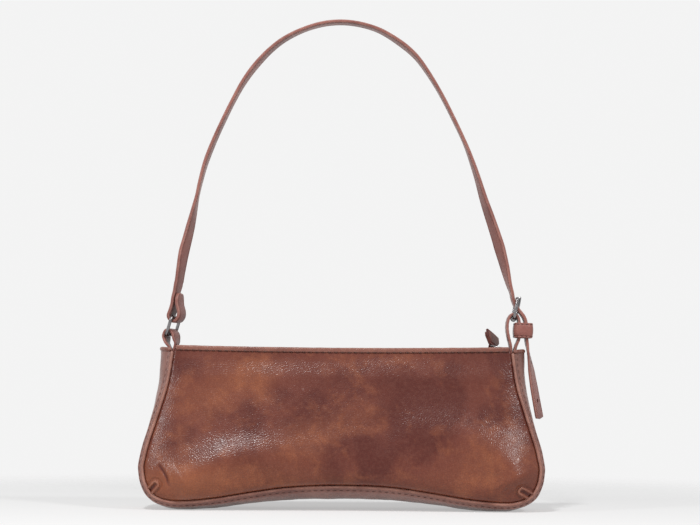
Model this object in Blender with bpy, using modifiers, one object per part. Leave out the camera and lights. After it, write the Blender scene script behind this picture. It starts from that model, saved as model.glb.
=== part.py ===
# Mini shoulder bag in brown leather, standing upright with its zip closed.
# Z is up, the front faces -Y, and the origin is on the ground at the middle of the bag.
# Two puffed panels are sewn with a rolled welt to one long gusset that runs down one
# side, along the bottom and up the other. A narrow strap joins a ring on the left tab
# to a prong buckle on the right tab.
import math

import bmesh
import bpy
import numpy as np
from mathutils import Matrix, Vector

MM = 0.001
DEG = math.radians(1)

# Gap between pieces that are sewn or laid together.
GAP = 0.3 * MM

# Body. The seam line of a panel runs from its top corner down to the middle of the
# bottom, in shares of the seam's half width, of the height from its lowest point to the
# top edge, of its half depth, and of the gusset's bulge beyond it.
SEAM_HALF_WIDTH = 132.3 * MM
SEAM_HALF_DEPTH = 26.0 * MM
TOP_HEIGHT = 111.0 * MM
TOP_SAG = 1.2 * MM
GUSSET_BULGE = 10.7 * MM
FOOT_PRESS = 0.7 * MM
FOOT_BULGE_SHARE = 0.673
SEAM_SHARES = np.array([
    (0.860, 1.000, 0.577, 1.000), (0.874, 0.855, 0.635, 0.869), (0.890, 0.735, 0.692, 0.748),
    (0.921, 0.597, 0.769, 0.617), (0.958, 0.445, 0.846, 0.505), (0.983, 0.340, 0.904, 0.467),
    (1.000, 0.234, 0.954, 0.477), (1.000, 0.187, 0.969, 0.486), (0.990, 0.120, 0.985, 0.505),
    (0.964, 0.057, 1.000, 0.542), (0.922, 0.022, 1.000, 0.579), (0.869, 0.003, 1.000, 0.617),
    (0.813, 0.000, 1.000, 0.673), (0.733, 0.007, 1.000, 0.710), (0.627, 0.022, 1.000, 0.729),
    (0.461, 0.057, 1.000, 0.804), (0.302, 0.087, 1.000, 0.897), (0.151, 0.102, 1.000, 0.953),
    (0.000, 0.106, 1.000, 0.972),
])
CORNER_SHARE = 0.459
SEAM_FLOOR = FOOT_BULGE_SHARE * GUSSET_BULGE - FOOT_PRESS
SEAM_TABLE = np.column_stack([
    SEAM_HALF_WIDTH * SEAM_SHARES[:, 0],
    SEAM_FLOOR + (TOP_HEIGHT - SEAM_FLOOR) * SEAM_SHARES[:, 1],
    SEAM_HALF_DEPTH * SEAM_SHARES[:, 2],
    GUSSET_BULGE * SEAM_SHARES[:, 3],
])
TOP_HALF_WIDTH, TOP_HALF_DEPTH = SEAM_TABLE[0][0], SEAM_TABLE[0][2]

# Panels and their lining.
PANEL_WALL = 1.8 * MM
LINING_WALL = 0.7 * MM
LINING_GAP = 0.8 * MM
FRONT_CROWN = 8.5 * MM
BACK_CROWN = 7.0 * MM
CROWN_EDGE_POWER = 6.0
CROWN_ROUND_POWER = 0.7
CROWN_RISE_POWER = 1.1
PANEL_CELL_COUNTS = (24, 9)

# Welt and gusset.
WELT_RADIUS = 1.75 * MM
WELT_BACK = 0.6 * MM
WELT_TOP_SHARE = 0.012
WELT_POINT_COUNT = 36
GUSSET_WALL = 1.6 * MM
GUSSET_EDGE_OUT = 2.2 * MM
GUSSET_EDGE_BACK = WELT_BACK + WELT_RADIUS + GAP
GUSSET_ROUND_POWER = 2.2
GUSSET_TOP_SHARE = 0.0178
GUSSET_CELL_COUNTS = (50, 6)
LINING_GUSSET_GAP = 1.4 * MM
LINING_GUSSET_DROP = GUSSET_WALL + LINING_GUSSET_GAP
LINING_GUSSET_BACK = 1.2 * MM
LINING_GUSSET_TOP_SHARE = 0.062
LINING_GUSSET_CELL_COUNTS = (50, 4)
RIM_RADIUS = 1.5 * MM
RIM_END_SHARE = 0.07
RIM_POINT_COUNT = 13
GROUND = 0.0

# Zip: two toothed tapes, two stops and the slider. The row of teeth leaves room for the
# slider's neck in the middle.
ZIP_DROP = 6.7 * MM
ZIP_Z = TOP_HEIGHT - ZIP_DROP
SLIDER_NECK = 0.7 * MM
SLIDER_NECK_LENGTH = 2.4 * MM
NECK_PLAY = 0.25 * MM
TEETH_INNER_Y = SLIDER_NECK / 2 + NECK_PLAY
TOOTH_REACH = 1.1 * MM
TOOTH_PITCH = 4.4 * MM
TOOTH_LENGTH_SHARE = 0.64
BEAD_SPINE = 1.0 * MM
BEAD_THICK = 2.0 * MM
BEAD_NOTCH_Y = TEETH_INNER_Y + TOOTH_REACH
BEAD_OUTER_Y = BEAD_NOTCH_Y + BEAD_SPINE
TAPE_WALL = 0.8 * MM
TAPE_INNER_Y = BEAD_OUTER_Y - GAP
STOP_LENGTH = 1.2 * MM
STOP_THICK = 2.4 * MM
STOP_PLAY = 0.5 * MM
SLIDER_LENGTH = 9.4 * MM
SLIDER_PLATE = 1.1 * MM
SLIDER_LIP = 0.8 * MM
SLIDER_PLAY = 0.4 * MM
SLIDER_ROUND = 0.5 * MM
SLIDER_ROOM_Y = BEAD_OUTER_Y + SLIDER_PLAY
SLIDER_ROOM_Z = BEAD_THICK + 2 * GAP
SLIDER_SLOT_Z = TAPE_WALL + 2 * GAP
SLIDER_WIDTH = 2 * (SLIDER_ROOM_Y + SLIDER_LIP)
SLIDER_HEIGHT = SLIDER_ROOM_Z + 2 * SLIDER_PLATE
SLIDER_STOP_GAP = 0.2 * MM
BRIDGE_LENGTH = SLIDER_LENGTH - 2 * SLIDER_ROUND
BRIDGE_WIDTH = 1.2 * MM
BRIDGE_WALL = 0.9 * MM
BRIDGE_RISE = 4.9 * MM
BRIDGE_SINK = 0.4 * MM
BRIDGE_ROUND_POWER = 0.5
BRIDGE_CELL_COUNTS = (14, 1)

# Folded top edges and the strips that carry the zip.
BINDING_HEIGHT = 3.4 * MM
BINDING_DEPTH = 3.8 * MM
BINDING_PROUD = 1.2 * MM
BINDING_ROUND = 0.8 * MM
BINDING_END_ROOM = 1.0 * MM
BINDING_END = TOP_HALF_WIDTH - BINDING_END_ROOM
FACING_WALL = 1.3 * MM
FACING_OUTER_Y = TOP_HALF_DEPTH - PANEL_WALL - 2 * GAP
FACING_INNER_Y = 7.6 * MM
FACING_OUTER_DROP = BINDING_HEIGHT + GAP + FACING_WALL
FACING_INNER_Z = ZIP_Z + TAPE_WALL / 2 + FACING_WALL
FACING_END = BINDING_END - GAP
TAPE_UNDER_FACING = 2.0 * MM
TAPE_OUTER_Y = FACING_INNER_Y + TAPE_UNDER_FACING
LINING_UNDER_FACING = 1.35 * MM
LINING_TOP_DROP = FACING_OUTER_DROP + FACING_WALL / 2 + LINING_UNDER_FACING
LENGTH_CELL_COUNT = 20

# Well at each end of the zip, and its floor.
WELL_LENGTH = 9.8 * MM
WELL_UNDER_SLIDER = 0.5 * MM
PATCH_WALL = 1.4 * MM
PATCH_Z = ZIP_Z - SLIDER_HEIGHT / 2 - WELL_UNDER_SLIDER
PATCH_INNER_X = TOP_HALF_WIDTH - WELL_LENGTH
PATCH_SIDE_ROOM = 2.3 * MM
PATCH_HALF_DEPTH = TOP_HALF_DEPTH - PANEL_WALL - LINING_GAP - LINING_WALL - PATCH_SIDE_ROOM
PATCH_CELL_COUNTS = (4, 6)

# Strap and its tabs. Both tabs stand in the wells, with half round roots.
STRAP_WIDTH = 12.0 * MM
STRAP_WALL = 2.5 * MM
TAB_WALL = 2.0 * MM
TAB_PAST_TOP = 2.7 * MM
TAB_X = TOP_HALF_WIDTH + TAB_PAST_TOP
TAB_ROOT_ROOM = 0.6 * MM
TAB_ROOT_RADIUS = STRAP_WIDTH / 2
TAB_ROOT_LEAST = 1.6 * MM
TAB_ROOT_Z = PATCH_Z + TAB_ROOT_ROOM + TAB_ROOT_RADIUS
TAB_LAYER_GAP = 0.4 * MM
TAB_CELL_COUNT = 30
TAPE_RIGHT = TAB_X - TAB_WALL - TAB_LAYER_GAP / 2 - GAP
TAPE_LEFT = GAP - PATCH_INNER_X
STOP_RIGHT, STOP_LEFT = TAPE_RIGHT - STOP_LENGTH / 2, TAPE_LEFT + STOP_LENGTH / 2
TEETH_RIGHT = TAPE_RIGHT - STOP_LENGTH - STOP_PLAY
TEETH_LEFT = TAPE_LEFT + STOP_LENGTH + STOP_PLAY
SLIDER_X = STOP_RIGHT - STOP_LENGTH / 2 - SLIDER_STOP_GAP - SLIDER_LENGTH / 2

# Metal fittings. A lean is measured from upright, towards the right.
FITTING_WIRE = 1.1 * MM
FITTING_CORNER = 2.2 * MM
FITTING_PLAY = 0.5 * MM
FITTING_INNER_WIDTH = STRAP_WIDTH + 2 * FITTING_PLAY
CORNER_STEP_COUNT = 3
RING_HEIGHT, RING_LEAN = 12.5 * MM, 16.7 * DEG
RING_OUT, RING_UP = 1.6 * MM, 10.2 * MM
BUCKLE_HEIGHT, BUCKLE_LEAN = 13.9 * MM, 9.9 * DEG
BUCKLE_OUT, BUCKLE_UP = 0.7 * MM, 22.9 * MM
RING_BOTTOM = Vector((-TAB_X - RING_OUT, 0.0, TAB_ROOT_Z + RING_UP))
RING_TOP = RING_BOTTOM + RING_HEIGHT * Vector((math.sin(RING_LEAN), 0.0, math.cos(RING_LEAN)))
BUCKLE_HEEL = Vector((TAB_X + BUCKLE_OUT, 0.0, TAB_ROOT_Z + BUCKLE_UP))
BUCKLE_TOP = BUCKLE_HEEL + BUCKLE_HEIGHT * Vector(
    (math.sin(BUCKLE_LEAN), 0.0, math.cos(BUCKLE_LEAN))
)
LEFT_TURN = -18 * DEG
LEFT_TURN_START, LEFT_TURN_LENGTH = 1.0 * MM, 8.0 * MM
PRONG_RADIUS = 0.8 * MM
PRONG_EYE_WALL = 0.9 * MM
PRONG_EYE_ROOM = 0.15 * MM
PRONG_EYE_WIDTH = 2.2 * MM
PRONG_TIP_PAST = 2.0 * MM
PRONG_SLOT_ROOM = 0.6 * MM
PRONG_SLOT_LENGTH, PRONG_SLOT_DEPTH = 11.0 * MM, 8.8 * MM
PRONG_SLOT_SHARES = (0.15, 0.3)
PRONG_HOLE_ROOM = 0.6 * MM

# Loops of leather round the bars. Each row gives a place from the bar, in three shares:
# across and up in shares of the loop's eye, and down in shares of the tab's stem.
TAB_EYE_ROOM = 1.0 * MM
TAB_EYE = FITTING_WIRE + TAB_WALL / 2 + TAB_EYE_ROOM
LEFT_TAB_SHARES = [
    (0.03, 0.0, 0.66), (-0.68, 0.0, 0.31), (-1.06, -0.06, 0.0), (-0.55, 0.97, 0.0),
    (0.35, 1.0, 0.0), (1.03, 0.19, 0.0), (1.10, 0.0, 0.31), (0.97, 0.0, 0.66),
]
RIGHT_TAB_SHARES = [
    (-0.71, 0.0, 0.80), (-1.13, 0.0, 0.56), (-1.42, 0.0, 0.30), (-1.29, 0.0, 0.08),
    (-0.77, 0.55, 0.0), (0.03, 1.0, 0.0), (0.84, 0.48, 0.0), (1.19, 0.0, 0.10),
    (1.35, 0.0, 0.32), (1.19, 0.0, 0.585), (0.55, 0.0, 0.81),
]

# The strap's left end, from the tip of its tongue round the ring's top bar. Across and up
# are shares of the fold's reach, or of the distance between its layers and of its length.
FOLD_ROOM = 0.35 * MM
FOLD_REACH = FITTING_WIRE + STRAP_WALL / 2 + FOLD_ROOM
TONGUE_LENGTH = 17.0 * MM
TONGUE_GAP = 0.2 * MM
TONGUE_LAYER = STRAP_WALL + TONGUE_GAP
TONGUE_LAYER_SHARES = [(1.0, 1.0), (1.41, 0.78), (2.2, 0.52)]
FOLD_SHARES = [
    (1.67, 1.59), (1.44, 0.26), (0.85, -0.70), (0.04, -1.0), (-0.81, -0.63), (-1.30, 0.41),
]
STRAP_RISE_SHARES = [(-1.22, 0.29), (-0.70, 0.535), (-0.19, 0.78), (0.15, 1.035), (0.59, 1.34)]

# The arch, on each side from its foot to its peak, in shares of the way across and up.
STRAP_RISE = 227.8 * MM
ARCH_PEAK_X = -4.0 * MM
LEFT_ARCH_SHARES = [
    (0.014, 0.058), (0.031, 0.121), (0.056, 0.183), (0.079, 0.245), (0.102, 0.312),
    (0.129, 0.389), (0.163, 0.465), (0.212, 0.543), (0.268, 0.619), (0.328, 0.694),
    (0.394, 0.767), (0.470, 0.831), (0.566, 0.893), (0.669, 0.940), (0.805, 0.978),
    (0.945, 0.998),
]
RIGHT_ARCH_SHARES = [
    (0.915, 0.997), (0.775, 0.973), (0.650, 0.926), (0.551, 0.872), (0.473, 0.804),
    (0.397, 0.722), (0.325, 0.630), (0.251, 0.526), (0.192, 0.419), (0.147, 0.321),
    (0.104, 0.238), (0.063, 0.156), (0.028, 0.074), (0.0, 0.0),
]

# The strap's right end: inside the buckle's top bar, out over the heel, down to the tip.
PASS_ROOM = 0.55 * MM
PASS_REACH = FITTING_WIRE + STRAP_WALL / 2 + PASS_ROOM
PASS_SHARES = [(-1.93, 0.75), (-1.28, 0.317), (-1.0, 0.0), (-0.55, -0.273), (0.10, -0.504)]
LAYER_ROOM = 2.15 * MM
LAYER_SHARE = 1.35
HEEL_REACH = LAYER_SHARE * TAB_EYE + TAB_WALL / 2 + LAYER_ROOM + STRAP_WALL / 2
HEEL_SHARES = [(0.58, 0.17), (0.81, 0.048), (0.95, -0.092), (1.0, -0.28), (1.01, -0.551)]
TAIL_OUT, TAIL_DROP = 9.4 * MM, 56.0 * MM
TAIL_SHARES = [(0.11, 0.13), (0.33, 0.35), (0.51, 0.54), (0.75, 0.77), (1.0, 1.0)]

STRAP_PART_SHARES = (0.0, 0.12, 0.85, 1.0)
STRAP_PART_CELL_COUNTS = (26, 42, 30)
LEFT_END_SHARE = 0.085
STRAP_TWIST_SHARES = [
    (0.0, -18), (0.09, -18), (0.12, -25), (0.15, -18), (0.185, 0), (0.23, -5), (0.30, -3),
    (0.35, -7), (0.42, 0), (0.50, 0), (0.54, -5), (0.60, 0), (0.67, 1), (0.72, -9),
    (0.76, -20), (0.80, -27), (0.825, -18), (0.85, -2), (0.865, 0), (0.92, 0), (0.955, 14),
    (1.0, 15),
]
HOLE_RADIUS = 1.3 * MM
HOLE_FIRST_DROP, HOLE_STEP, HOLE_TIP_ROOM = 29.9 * MM, 26.3 * MM, 3.5 * MM
HOLE_CUT_PAST = 3.2 * MM
TIP_ROUND = 3.0 * MM
TIP_ROUND_SHARE = 0.6

# Keeper round the right tab's outer layer and the strap's tail.
KEEPER_PLAY, KEEPER_SIDE_PLAY = 1.5 * MM, 0.8 * MM
KEEPER_WALL = 1.7 * MM
KEEPER_HEIGHT = 10.2 * MM
KEEPER_CORNER = 3.0 * MM
KEEPER_LEAN = 1.5 * DEG
KEEPER_DROP_SHARE = 0.355
KEEPER_DROP = KEEPER_DROP_SHARE * BUCKLE_UP
KEEPER_LAYERS = TAB_WALL + LAYER_ROOM + STRAP_WALL
KEEPER_WIDTH = KEEPER_LAYERS + 2 * (KEEPER_PLAY + KEEPER_WALL)
KEEPER_DEPTH = STRAP_WIDTH + 2 * (KEEPER_SIDE_PLAY + KEEPER_WALL)
KEEPER_CENTRE = BUCKLE_HEEL + Vector(
    (LAYER_SHARE * TAB_EYE + (KEEPER_LAYERS - TAB_WALL) / 2, 0.0, -KEEPER_DROP)
)

# Zip pull: a round ring through the slider's bridge, and a folded leather tab.
PULL_WIDTH_WAY = Vector((0.60, 0.66, -0.46)).normalized()
PULL_RING_WAY = Vector((-0.60, 0.75, 0.28)).normalized()
PULL_UP_WAY = Vector((-0.02, 0.582, 0.813)).normalized()
PULL_RING_RADIUS = 4.7 * MM
PULL_WIRE_RADIUS = 0.65 * MM
PULL_SEAT_X, PULL_SEAT_Y, PULL_SEAT_UP = 1.3 * MM, -0.4 * MM, 1.8 * MM
PULL_ROOM = 0.8 * MM
PULL_RING_POINT_COUNT = 20
PULL_TAB_LENGTH = 12.0 * MM
PULL_TAB_WALL = 1.3 * MM
PULL_TAB_END_WIDTH, PULL_TAB_FOLD_WIDTH = 12.0 * MM, 3.6 * MM
PULL_TAB_EYE = PULL_WIRE_RADIUS + PULL_ROOM + PULL_TAB_WALL / 2
PULL_TAB_CLOSE_SHARE, PULL_TAB_SPREAD_SHARE = 3.0, 0.6
PULL_TAB_CELL_COUNTS = (26, 2)

# How finely curved lines are worked out, and the sides of round bars.
LINE_STEP_COUNT = 24
FINE_POINT_COUNT = 1200
THIN_SIDE_COUNT, ROUND_SIDE_COUNT = 12, 20


def smooth_line(rows, count):
    """Rows resampled to count points, evenly spaced in x and z, on a smooth line."""
    rows = np.asarray(rows, float)
    padded = np.vstack([2 * rows[0] - rows[1], rows, 2 * rows[-1] - rows[-2]])
    dense = []
    steps = np.linspace(0, 1, LINE_STEP_COUNT, endpoint=False)[:, None]
    for a, b, c, d in zip(padded, padded[1:], padded[2:], padded[3:]):
        bend = 2 * a - 5 * b + 4 * c - d
        cube = 3 * b - a - 3 * c + d
        dense.append(b + 0.5 * steps * ((c - a) + steps * (bend + steps * cube)))
    dense = np.vstack(dense + [padded[-2][None]])
    step_lengths = np.linalg.norm(np.diff(dense[:, :2], axis=0), axis=1)
    reach = np.concatenate([[0], np.cumsum(step_lengths)])
    at = np.linspace(0, reach[-1], count)
    return np.column_stack([np.interp(at, reach, column) for column in dense.T])


def outline(share_from, share_to, count, mirrored=True):
    """Points of the seam with their outward normals, between two shares of the half line.

    Each row is x, z, half depth, bulge, normal x, normal z."""
    fine = smooth_line(SEAM_TABLE, FINE_POINT_COUNT)
    way = np.gradient(fine[:, :2], axis=0)
    way /= np.linalg.norm(way, axis=1)[:, None]
    normal = np.column_stack([-way[:, 1], way[:, 0]])
    fine = np.hstack([fine, normal])
    places = np.linspace(0, 1, len(fine))
    at = np.linspace(share_from, share_to, count)
    half = np.column_stack([np.interp(at, places, column) for column in fine.T])
    if not mirrored:
        return half
    other = half[:-1][::-1] * np.array([-1, 1, 1, 1, -1, 1])
    return np.vstack([half, other])


def new_material(name, colour, roughness, metallic=0.0):
    made = bpy.data.materials.new(name)
    made.use_nodes = True
    shader = made.node_tree.nodes["Principled BSDF"]
    shader.inputs["Base Color"].default_value = (*colour, 1.0)
    shader.inputs["Roughness"].default_value = roughness
    shader.inputs["Metallic"].default_value = metallic
    made.diffuse_color = (*colour, 1.0)
    return made


def add_object(name, data, material, home):
    made = bpy.data.objects.new(name, data)
    made.data.materials.append(material)
    home.objects.link(made)
    return made


def mesh_object(name, bm, material, home):
    mesh = bpy.data.meshes.new(name)
    bm.to_mesh(mesh)
    bm.free()
    return add_object(name, mesh, material, home)


def add_wall(made, thickness, offset):
    shell = made.modifiers.new("Wall", "SOLIDIFY")
    shell.thickness = thickness
    shell.offset = offset
    shell.use_even_offset = True


def sheet(name, cells, place, outward_from, wall, side, material, home):
    """A grid bent into place(u, v), both 0 to 1, and given a wall by Solidify.

    Its normals point away from outward_from. side is -1 for a wall inside the surface."""
    bm = bmesh.new()
    bmesh.ops.create_grid(bm, x_segments=cells[0], y_segments=cells[1], size=0.5)
    for vert in bm.verts:
        vert.co = place(vert.co.x + 0.5, vert.co.y + 0.5)
    bm.normal_update()
    facing = sum(
        face.normal.dot(face.calc_center_median() - outward_from(face.calc_center_median()))
        * face.calc_area()
        for face in bm.faces
    )
    if facing < 0:
        bmesh.ops.reverse_faces(bm, faces=bm.faces)
    made = mesh_object(name, bm, material, home)
    add_wall(made, wall, side)
    return made


def tube(name, points, radius, material, home, closed=False, sides=1):
    """A wire along points, as a curve with a round bevel."""
    curve = bpy.data.curves.new(name, "CURVE")
    curve.dimensions = "3D"
    line = curve.splines.new("POLY")
    line.points.add(len(points) - 1)
    for spot, point in zip(line.points, points):
        spot.co = (*point, 1.0)
    line.use_cyclic_u = closed
    curve.bevel_depth = radius
    curve.bevel_resolution = sides
    curve.use_fill_caps = not closed
    return add_object(name, curve, material, home)


def to_mesh(made):
    """The object turned into a mesh object with its modifiers applied."""
    graph = bpy.context.evaluated_depsgraph_get()
    mesh = bpy.data.meshes.new_from_object(made.evaluated_get(graph))
    bm = bmesh.new()
    bm.from_mesh(mesh)
    bmesh.ops.remove_doubles(bm, verts=bm.verts, dist=1e-6)
    bmesh.ops.dissolve_limit(bm, angle_limit=0.1 * DEG, verts=bm.verts, edges=bm.edges)
    bmesh.ops.recalc_face_normals(bm, faces=bm.faces)
    bm.to_mesh(mesh)
    bm.free()
    name, home = made.name, made.users_collection[0]
    place = made.matrix_world.copy()
    bpy.data.objects.remove(made)
    made = bpy.data.objects.new(name, mesh)
    made.matrix_world = place
    home.objects.link(made)
    return made


def box(name, size, centre, material, home):
    bm = bmesh.new()
    bmesh.ops.create_cube(bm, size=1.0, matrix=Matrix.Diagonal((*size, 1.0)))
    made = mesh_object(name, bm, material, home)
    made.location = centre
    return made


def rounded(made, width, segments=1):
    edge = made.modifiers.new("Rounded", "BEVEL")
    edge.width = width
    edge.segments = segments
    edge.limit_method = "ANGLE"
    edge.angle_limit = 40 * DEG
    return made


def combine(made, other, operation):
    step = made.modifiers.new(operation.title(), "BOOLEAN")
    step.operation = operation
    step.solver = "EXACT"
    step.object = other
    other.hide_render = True
    other.display_type = "WIRE"
    return made


def rod(name, start, end, radius, material, home, sides=ROUND_SIDE_COUNT):
    """A straight round bar between two points."""
    way = end - start
    bm = bmesh.new()
    bmesh.ops.create_cone(
        bm, cap_ends=True, segments=sides, radius1=radius, radius2=radius, depth=way.length
    )
    made = mesh_object(name, bm, material, home)
    made.location = (start + end) / 2
    made.rotation_mode = "QUATERNION"
    made.rotation_quaternion = way.to_track_quat("Z", "Y")
    return made


def rounded_corners(half_u, half_v, corner):
    """Places round a rectangle about zero, with an arc at each corner."""
    places = []
    for side_u, side_v, start in ((1, 1, 0), (-1, 1, 90), (-1, -1, 180), (1, -1, 270)):
        for step in range(CORNER_STEP_COUNT + 1):
            angle = (start + 90 * step / CORNER_STEP_COUNT) * DEG
            u = side_u * (half_u - corner) + corner * math.cos(angle)
            v = side_v * (half_v - corner) + corner * math.sin(angle)
            places.append((u, v))
    return places


def wire_frame(name, low, high, width_way):
    """A rounded rectangle of wire whose two bars pass through low and high."""
    along = (high - low).normalized()
    half_length = (high - low).length / 2
    corners = rounded_corners(FITTING_INNER_WIDTH / 2 + FITTING_WIRE, half_length, FITTING_CORNER)
    points = [(low + high) / 2 + width_way * u + along * v for u, v in corners]
    return tube(name, points, FITTING_WIRE, dark_nickel, bag, closed=True, sides=2)


def joint_axis(name, at, pieces, carrier=None):
    """An empty on a joint's axis that carries the pieces which move there."""
    pivot = bpy.data.objects.new(name, None)
    bag.objects.link(pivot)
    pivot.empty_display_size = SLIDER_LENGTH
    pivot.location = at
    if carrier:
        pivot.parent = carrier
        pivot.location = at - carrier.matrix_world.translation
    bpy.context.view_layer.update()
    for piece in pieces:
        piece.parent = pivot
        piece.location -= at
    bpy.context.view_layer.update()
    return pivot


# Scene

for old in list(bpy.data.objects):
    bpy.data.objects.remove(old)
bag = bpy.data.collections.new("mini_bag")
tools = bpy.data.collections.new("mini_bag_cutters")
bpy.context.scene.collection.children.link(bag)
bpy.context.scene.collection.children.link(tools)

# Materials

body_leather = new_material("body_leather", (0.165, 0.062, 0.042), 0.38)
gusset_leather = new_material("gusset_leather", (0.23, 0.105, 0.078), 0.4)
edge_leather = new_material("edge_leather", (0.30, 0.135, 0.09), 0.45)
strap_leather = new_material("strap_leather", (0.20, 0.08, 0.065), 0.42)
lining_cloth = new_material("lining_cloth", (0.10, 0.075, 0.06), 0.9)
zip_tape = new_material("zip_tape", (0.06, 0.035, 0.03), 0.85)
zip_metal = new_material("zip_metal", (0.20, 0.17, 0.16), 0.35, 1.0)
dark_nickel = new_material("dark_nickel", (0.30, 0.28, 0.29), 0.25, 1.0)

# Panels: one sheet stretched between the seam and the top edge, and blown out


def panel_place(side, crown, drop, inset, top_drop):
    """A function from (s, v) to a point on the front or back panel.

    s runs from right to left, and v from the top edge down to the bottom seam."""
    sides = outline(0, CORNER_SHARE, FINE_POINT_COUNT, mirrored=False)
    bottom = outline(CORNER_SHARE, 1, FINE_POINT_COUNT)
    sides[:, :2] -= inset * sides[:, 4:6]
    bottom[:, :2] -= inset * bottom[:, 4:6]
    top_z = TOP_HEIGHT - top_drop
    side_line = sides[:, [0, 2, 1]] * np.array([1, side, 1])
    bottom_line = bottom[:, [0, 2, 1]] * np.array([1, side, 1])
    side_places = np.linspace(0, 1, len(side_line))
    bottom_places = np.linspace(0, 1, len(bottom_line))
    start = np.interp(-top_z, -side_line[:, 2], side_places)
    top_x = np.interp(start, side_places, side_line[:, 0])
    top_y = np.interp(start, side_places, side_line[:, 1])

    def side_point(v):
        at = start + (1 - start) * v
        return np.array([np.interp(at, side_places, column) for column in side_line.T])

    def bottom_point(s):
        return np.array([np.interp(s, bottom_places, column) for column in bottom_line.T])

    def top_point(s):
        u = 1 - 2 * s
        return np.array([top_x * u, top_y, top_z - TOP_SAG * (1 - u * u)])

    flip = np.array([-1, 1, 1])
    corner = side_point(1)

    def place(s, v):
        right, left = side_point(v), side_point(v) * flip
        flat = (1 - v) * top_point(s) + v * bottom_point(s) + (1 - s) * right + s * left
        flat -= (1 - v) * ((1 - s) * top_point(0) + s * top_point(1))
        flat -= v * ((1 - s) * corner + s * corner * flip)
        u = abs(2 * s - 1)
        swell = (1 - u**CROWN_EDGE_POWER) ** CROWN_ROUND_POWER
        swell *= v**CROWN_RISE_POWER * (1 - v**CROWN_EDGE_POWER) ** CROWN_ROUND_POWER
        flat[1] += side * (crown * swell - drop)
        return Vector(flat)

    return place


def middle_of_bag(point):
    return Vector((point.x, 0.0, point.z))


for side, label, crown in ((-1, "front", FRONT_CROWN), (1, "back", BACK_CROWN)):
    sheet(
        f"{label}_panel", PANEL_CELL_COUNTS,
        panel_place(side, crown, 0.0, GAP, BINDING_HEIGHT + GAP),
        middle_of_bag, PANEL_WALL, -1, body_leather, bag,
    )
    sheet(
        f"lining_{label}", PANEL_CELL_COUNTS,
        panel_place(side, crown, PANEL_WALL + LINING_GAP, PANEL_WALL, LINING_TOP_DROP),
        middle_of_bag, LINING_WALL, -1, lining_cloth, bag,
    )

# Welts: a rolled edge of leather along each seam

seam_rows = outline(WELT_TOP_SHARE, 1, WELT_POINT_COUNT)
welt_out = WELT_RADIUS + GAP
for side, label in ((-1, "front"), (1, "back")):
    line = [
        Vector((x + welt_out * out_x, side * (half_depth - WELT_BACK), z + welt_out * out_z))
        for x, z, half_depth, _, out_x, out_z in seam_rows
    ]
    tube(f"{label}_welt", line, WELT_RADIUS, edge_leather, bag)

# Gusset: one strip down a side, along the bottom and up the other side


def bulge_out(row, lean):
    """How far the gusset stands beyond the seam, lean being -1 to 1 across it."""
    swell = 1 - abs(lean) ** GUSSET_ROUND_POWER
    return GUSSET_EDGE_OUT + (row[3] - GUSSET_EDGE_OUT) * swell


def gusset_place(top_share, drop, back):
    rows = outline(top_share, 1, FINE_POINT_COUNT)
    places = np.linspace(0, 1, len(rows))

    def place(s, v):
        row = [np.interp(s, places, column) for column in rows.T]
        lean = 2 * v - 1
        out = bulge_out(row, lean) - drop
        x, z = row[0] + out * row[4], row[1] + out * row[5]
        return Vector((x, lean * (row[2] - GUSSET_EDGE_BACK - back), max(z, GROUND + drop)))

    return place


def inside_of_bag(point):
    return Vector((point.x / 2, 0.0, TOP_HEIGHT / 2))


sheet(
    "gusset", GUSSET_CELL_COUNTS, gusset_place(GUSSET_TOP_SHARE, 0.0, 0.0), inside_of_bag,
    GUSSET_WALL, -1, gusset_leather, bag,
)
sheet(
    "lining_gusset", LINING_GUSSET_CELL_COUNTS,
    gusset_place(LINING_GUSSET_TOP_SHARE, LINING_GUSSET_DROP, LINING_GUSSET_BACK),
    inside_of_bag, LINING_WALL, -1, lining_cloth, bag,
)

# Rims: the gusset's two top edges, rolled over

rim_place = gusset_place(GUSSET_TOP_SHARE, GUSSET_WALL / 2, 0.0)
for end, label in ((0.0, "right"), (1.0, "left")):
    line = [rim_place(end, v) for v in np.linspace(RIM_END_SHARE, 1 - RIM_END_SHARE, RIM_POINT_COUNT)]
    for point in line:
        point.z += RIM_RADIUS + GAP
    tube(f"gusset_rim_{label}", line, RIM_RADIUS, edge_leather, bag)

# End patches: the floor of the small well at each end of the zip

patch_rows = outline(0, 1, FINE_POINT_COUNT, mirrored=False)
patch_row = patch_rows[np.abs(patch_rows[:, 1] - PATCH_Z).argmin()]


def patch_place(side):
    def place(s, v):
        y = (2 * v - 1) * PATCH_HALF_DEPTH
        out = bulge_out(patch_row, y / (patch_row[2] - GUSSET_EDGE_BACK))
        end = patch_row[0] + out - LINING_GUSSET_DROP - LINING_WALL - LINING_GAP
        return Vector((side * (PATCH_INNER_X + s * (end - PATCH_INNER_X)), y, PATCH_Z))

    return place


def below(point):
    return point - Vector((0.0, 0.0, PATCH_WALL))


for side, label in ((1, "right"), (-1, "left")):
    sheet(
        f"end_patch_{label}", PATCH_CELL_COUNTS, patch_place(side), below, PATCH_WALL, -1,
        lining_cloth, bag,
    )

# Top edges: a folded binding on each panel, and a facing that carries the zip tape


def top_height(x):
    return TOP_HEIGHT - TOP_SAG * (1 - (x / TOP_HALF_WIDTH) ** 2)


def binding_place(side):
    """The binding's outer face, a strip standing on the panel's top edge."""

    def place(s, v):
        x = (2 * s - 1) * BINDING_END
        y = side * (TOP_HALF_DEPTH + BINDING_PROUD)
        return Vector((x, y, top_height(x) - BINDING_HEIGHT * (1 - v)))

    return place


def facing_place(side):
    def place(s, v):
        x = (2 * s - 1) * FACING_END
        high = top_height(x) - FACING_OUTER_DROP
        y = FACING_OUTER_Y + (FACING_INNER_Y - FACING_OUTER_Y) * v
        return Vector((x, side * y, high + (FACING_INNER_Z - high) * v))

    return place


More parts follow.
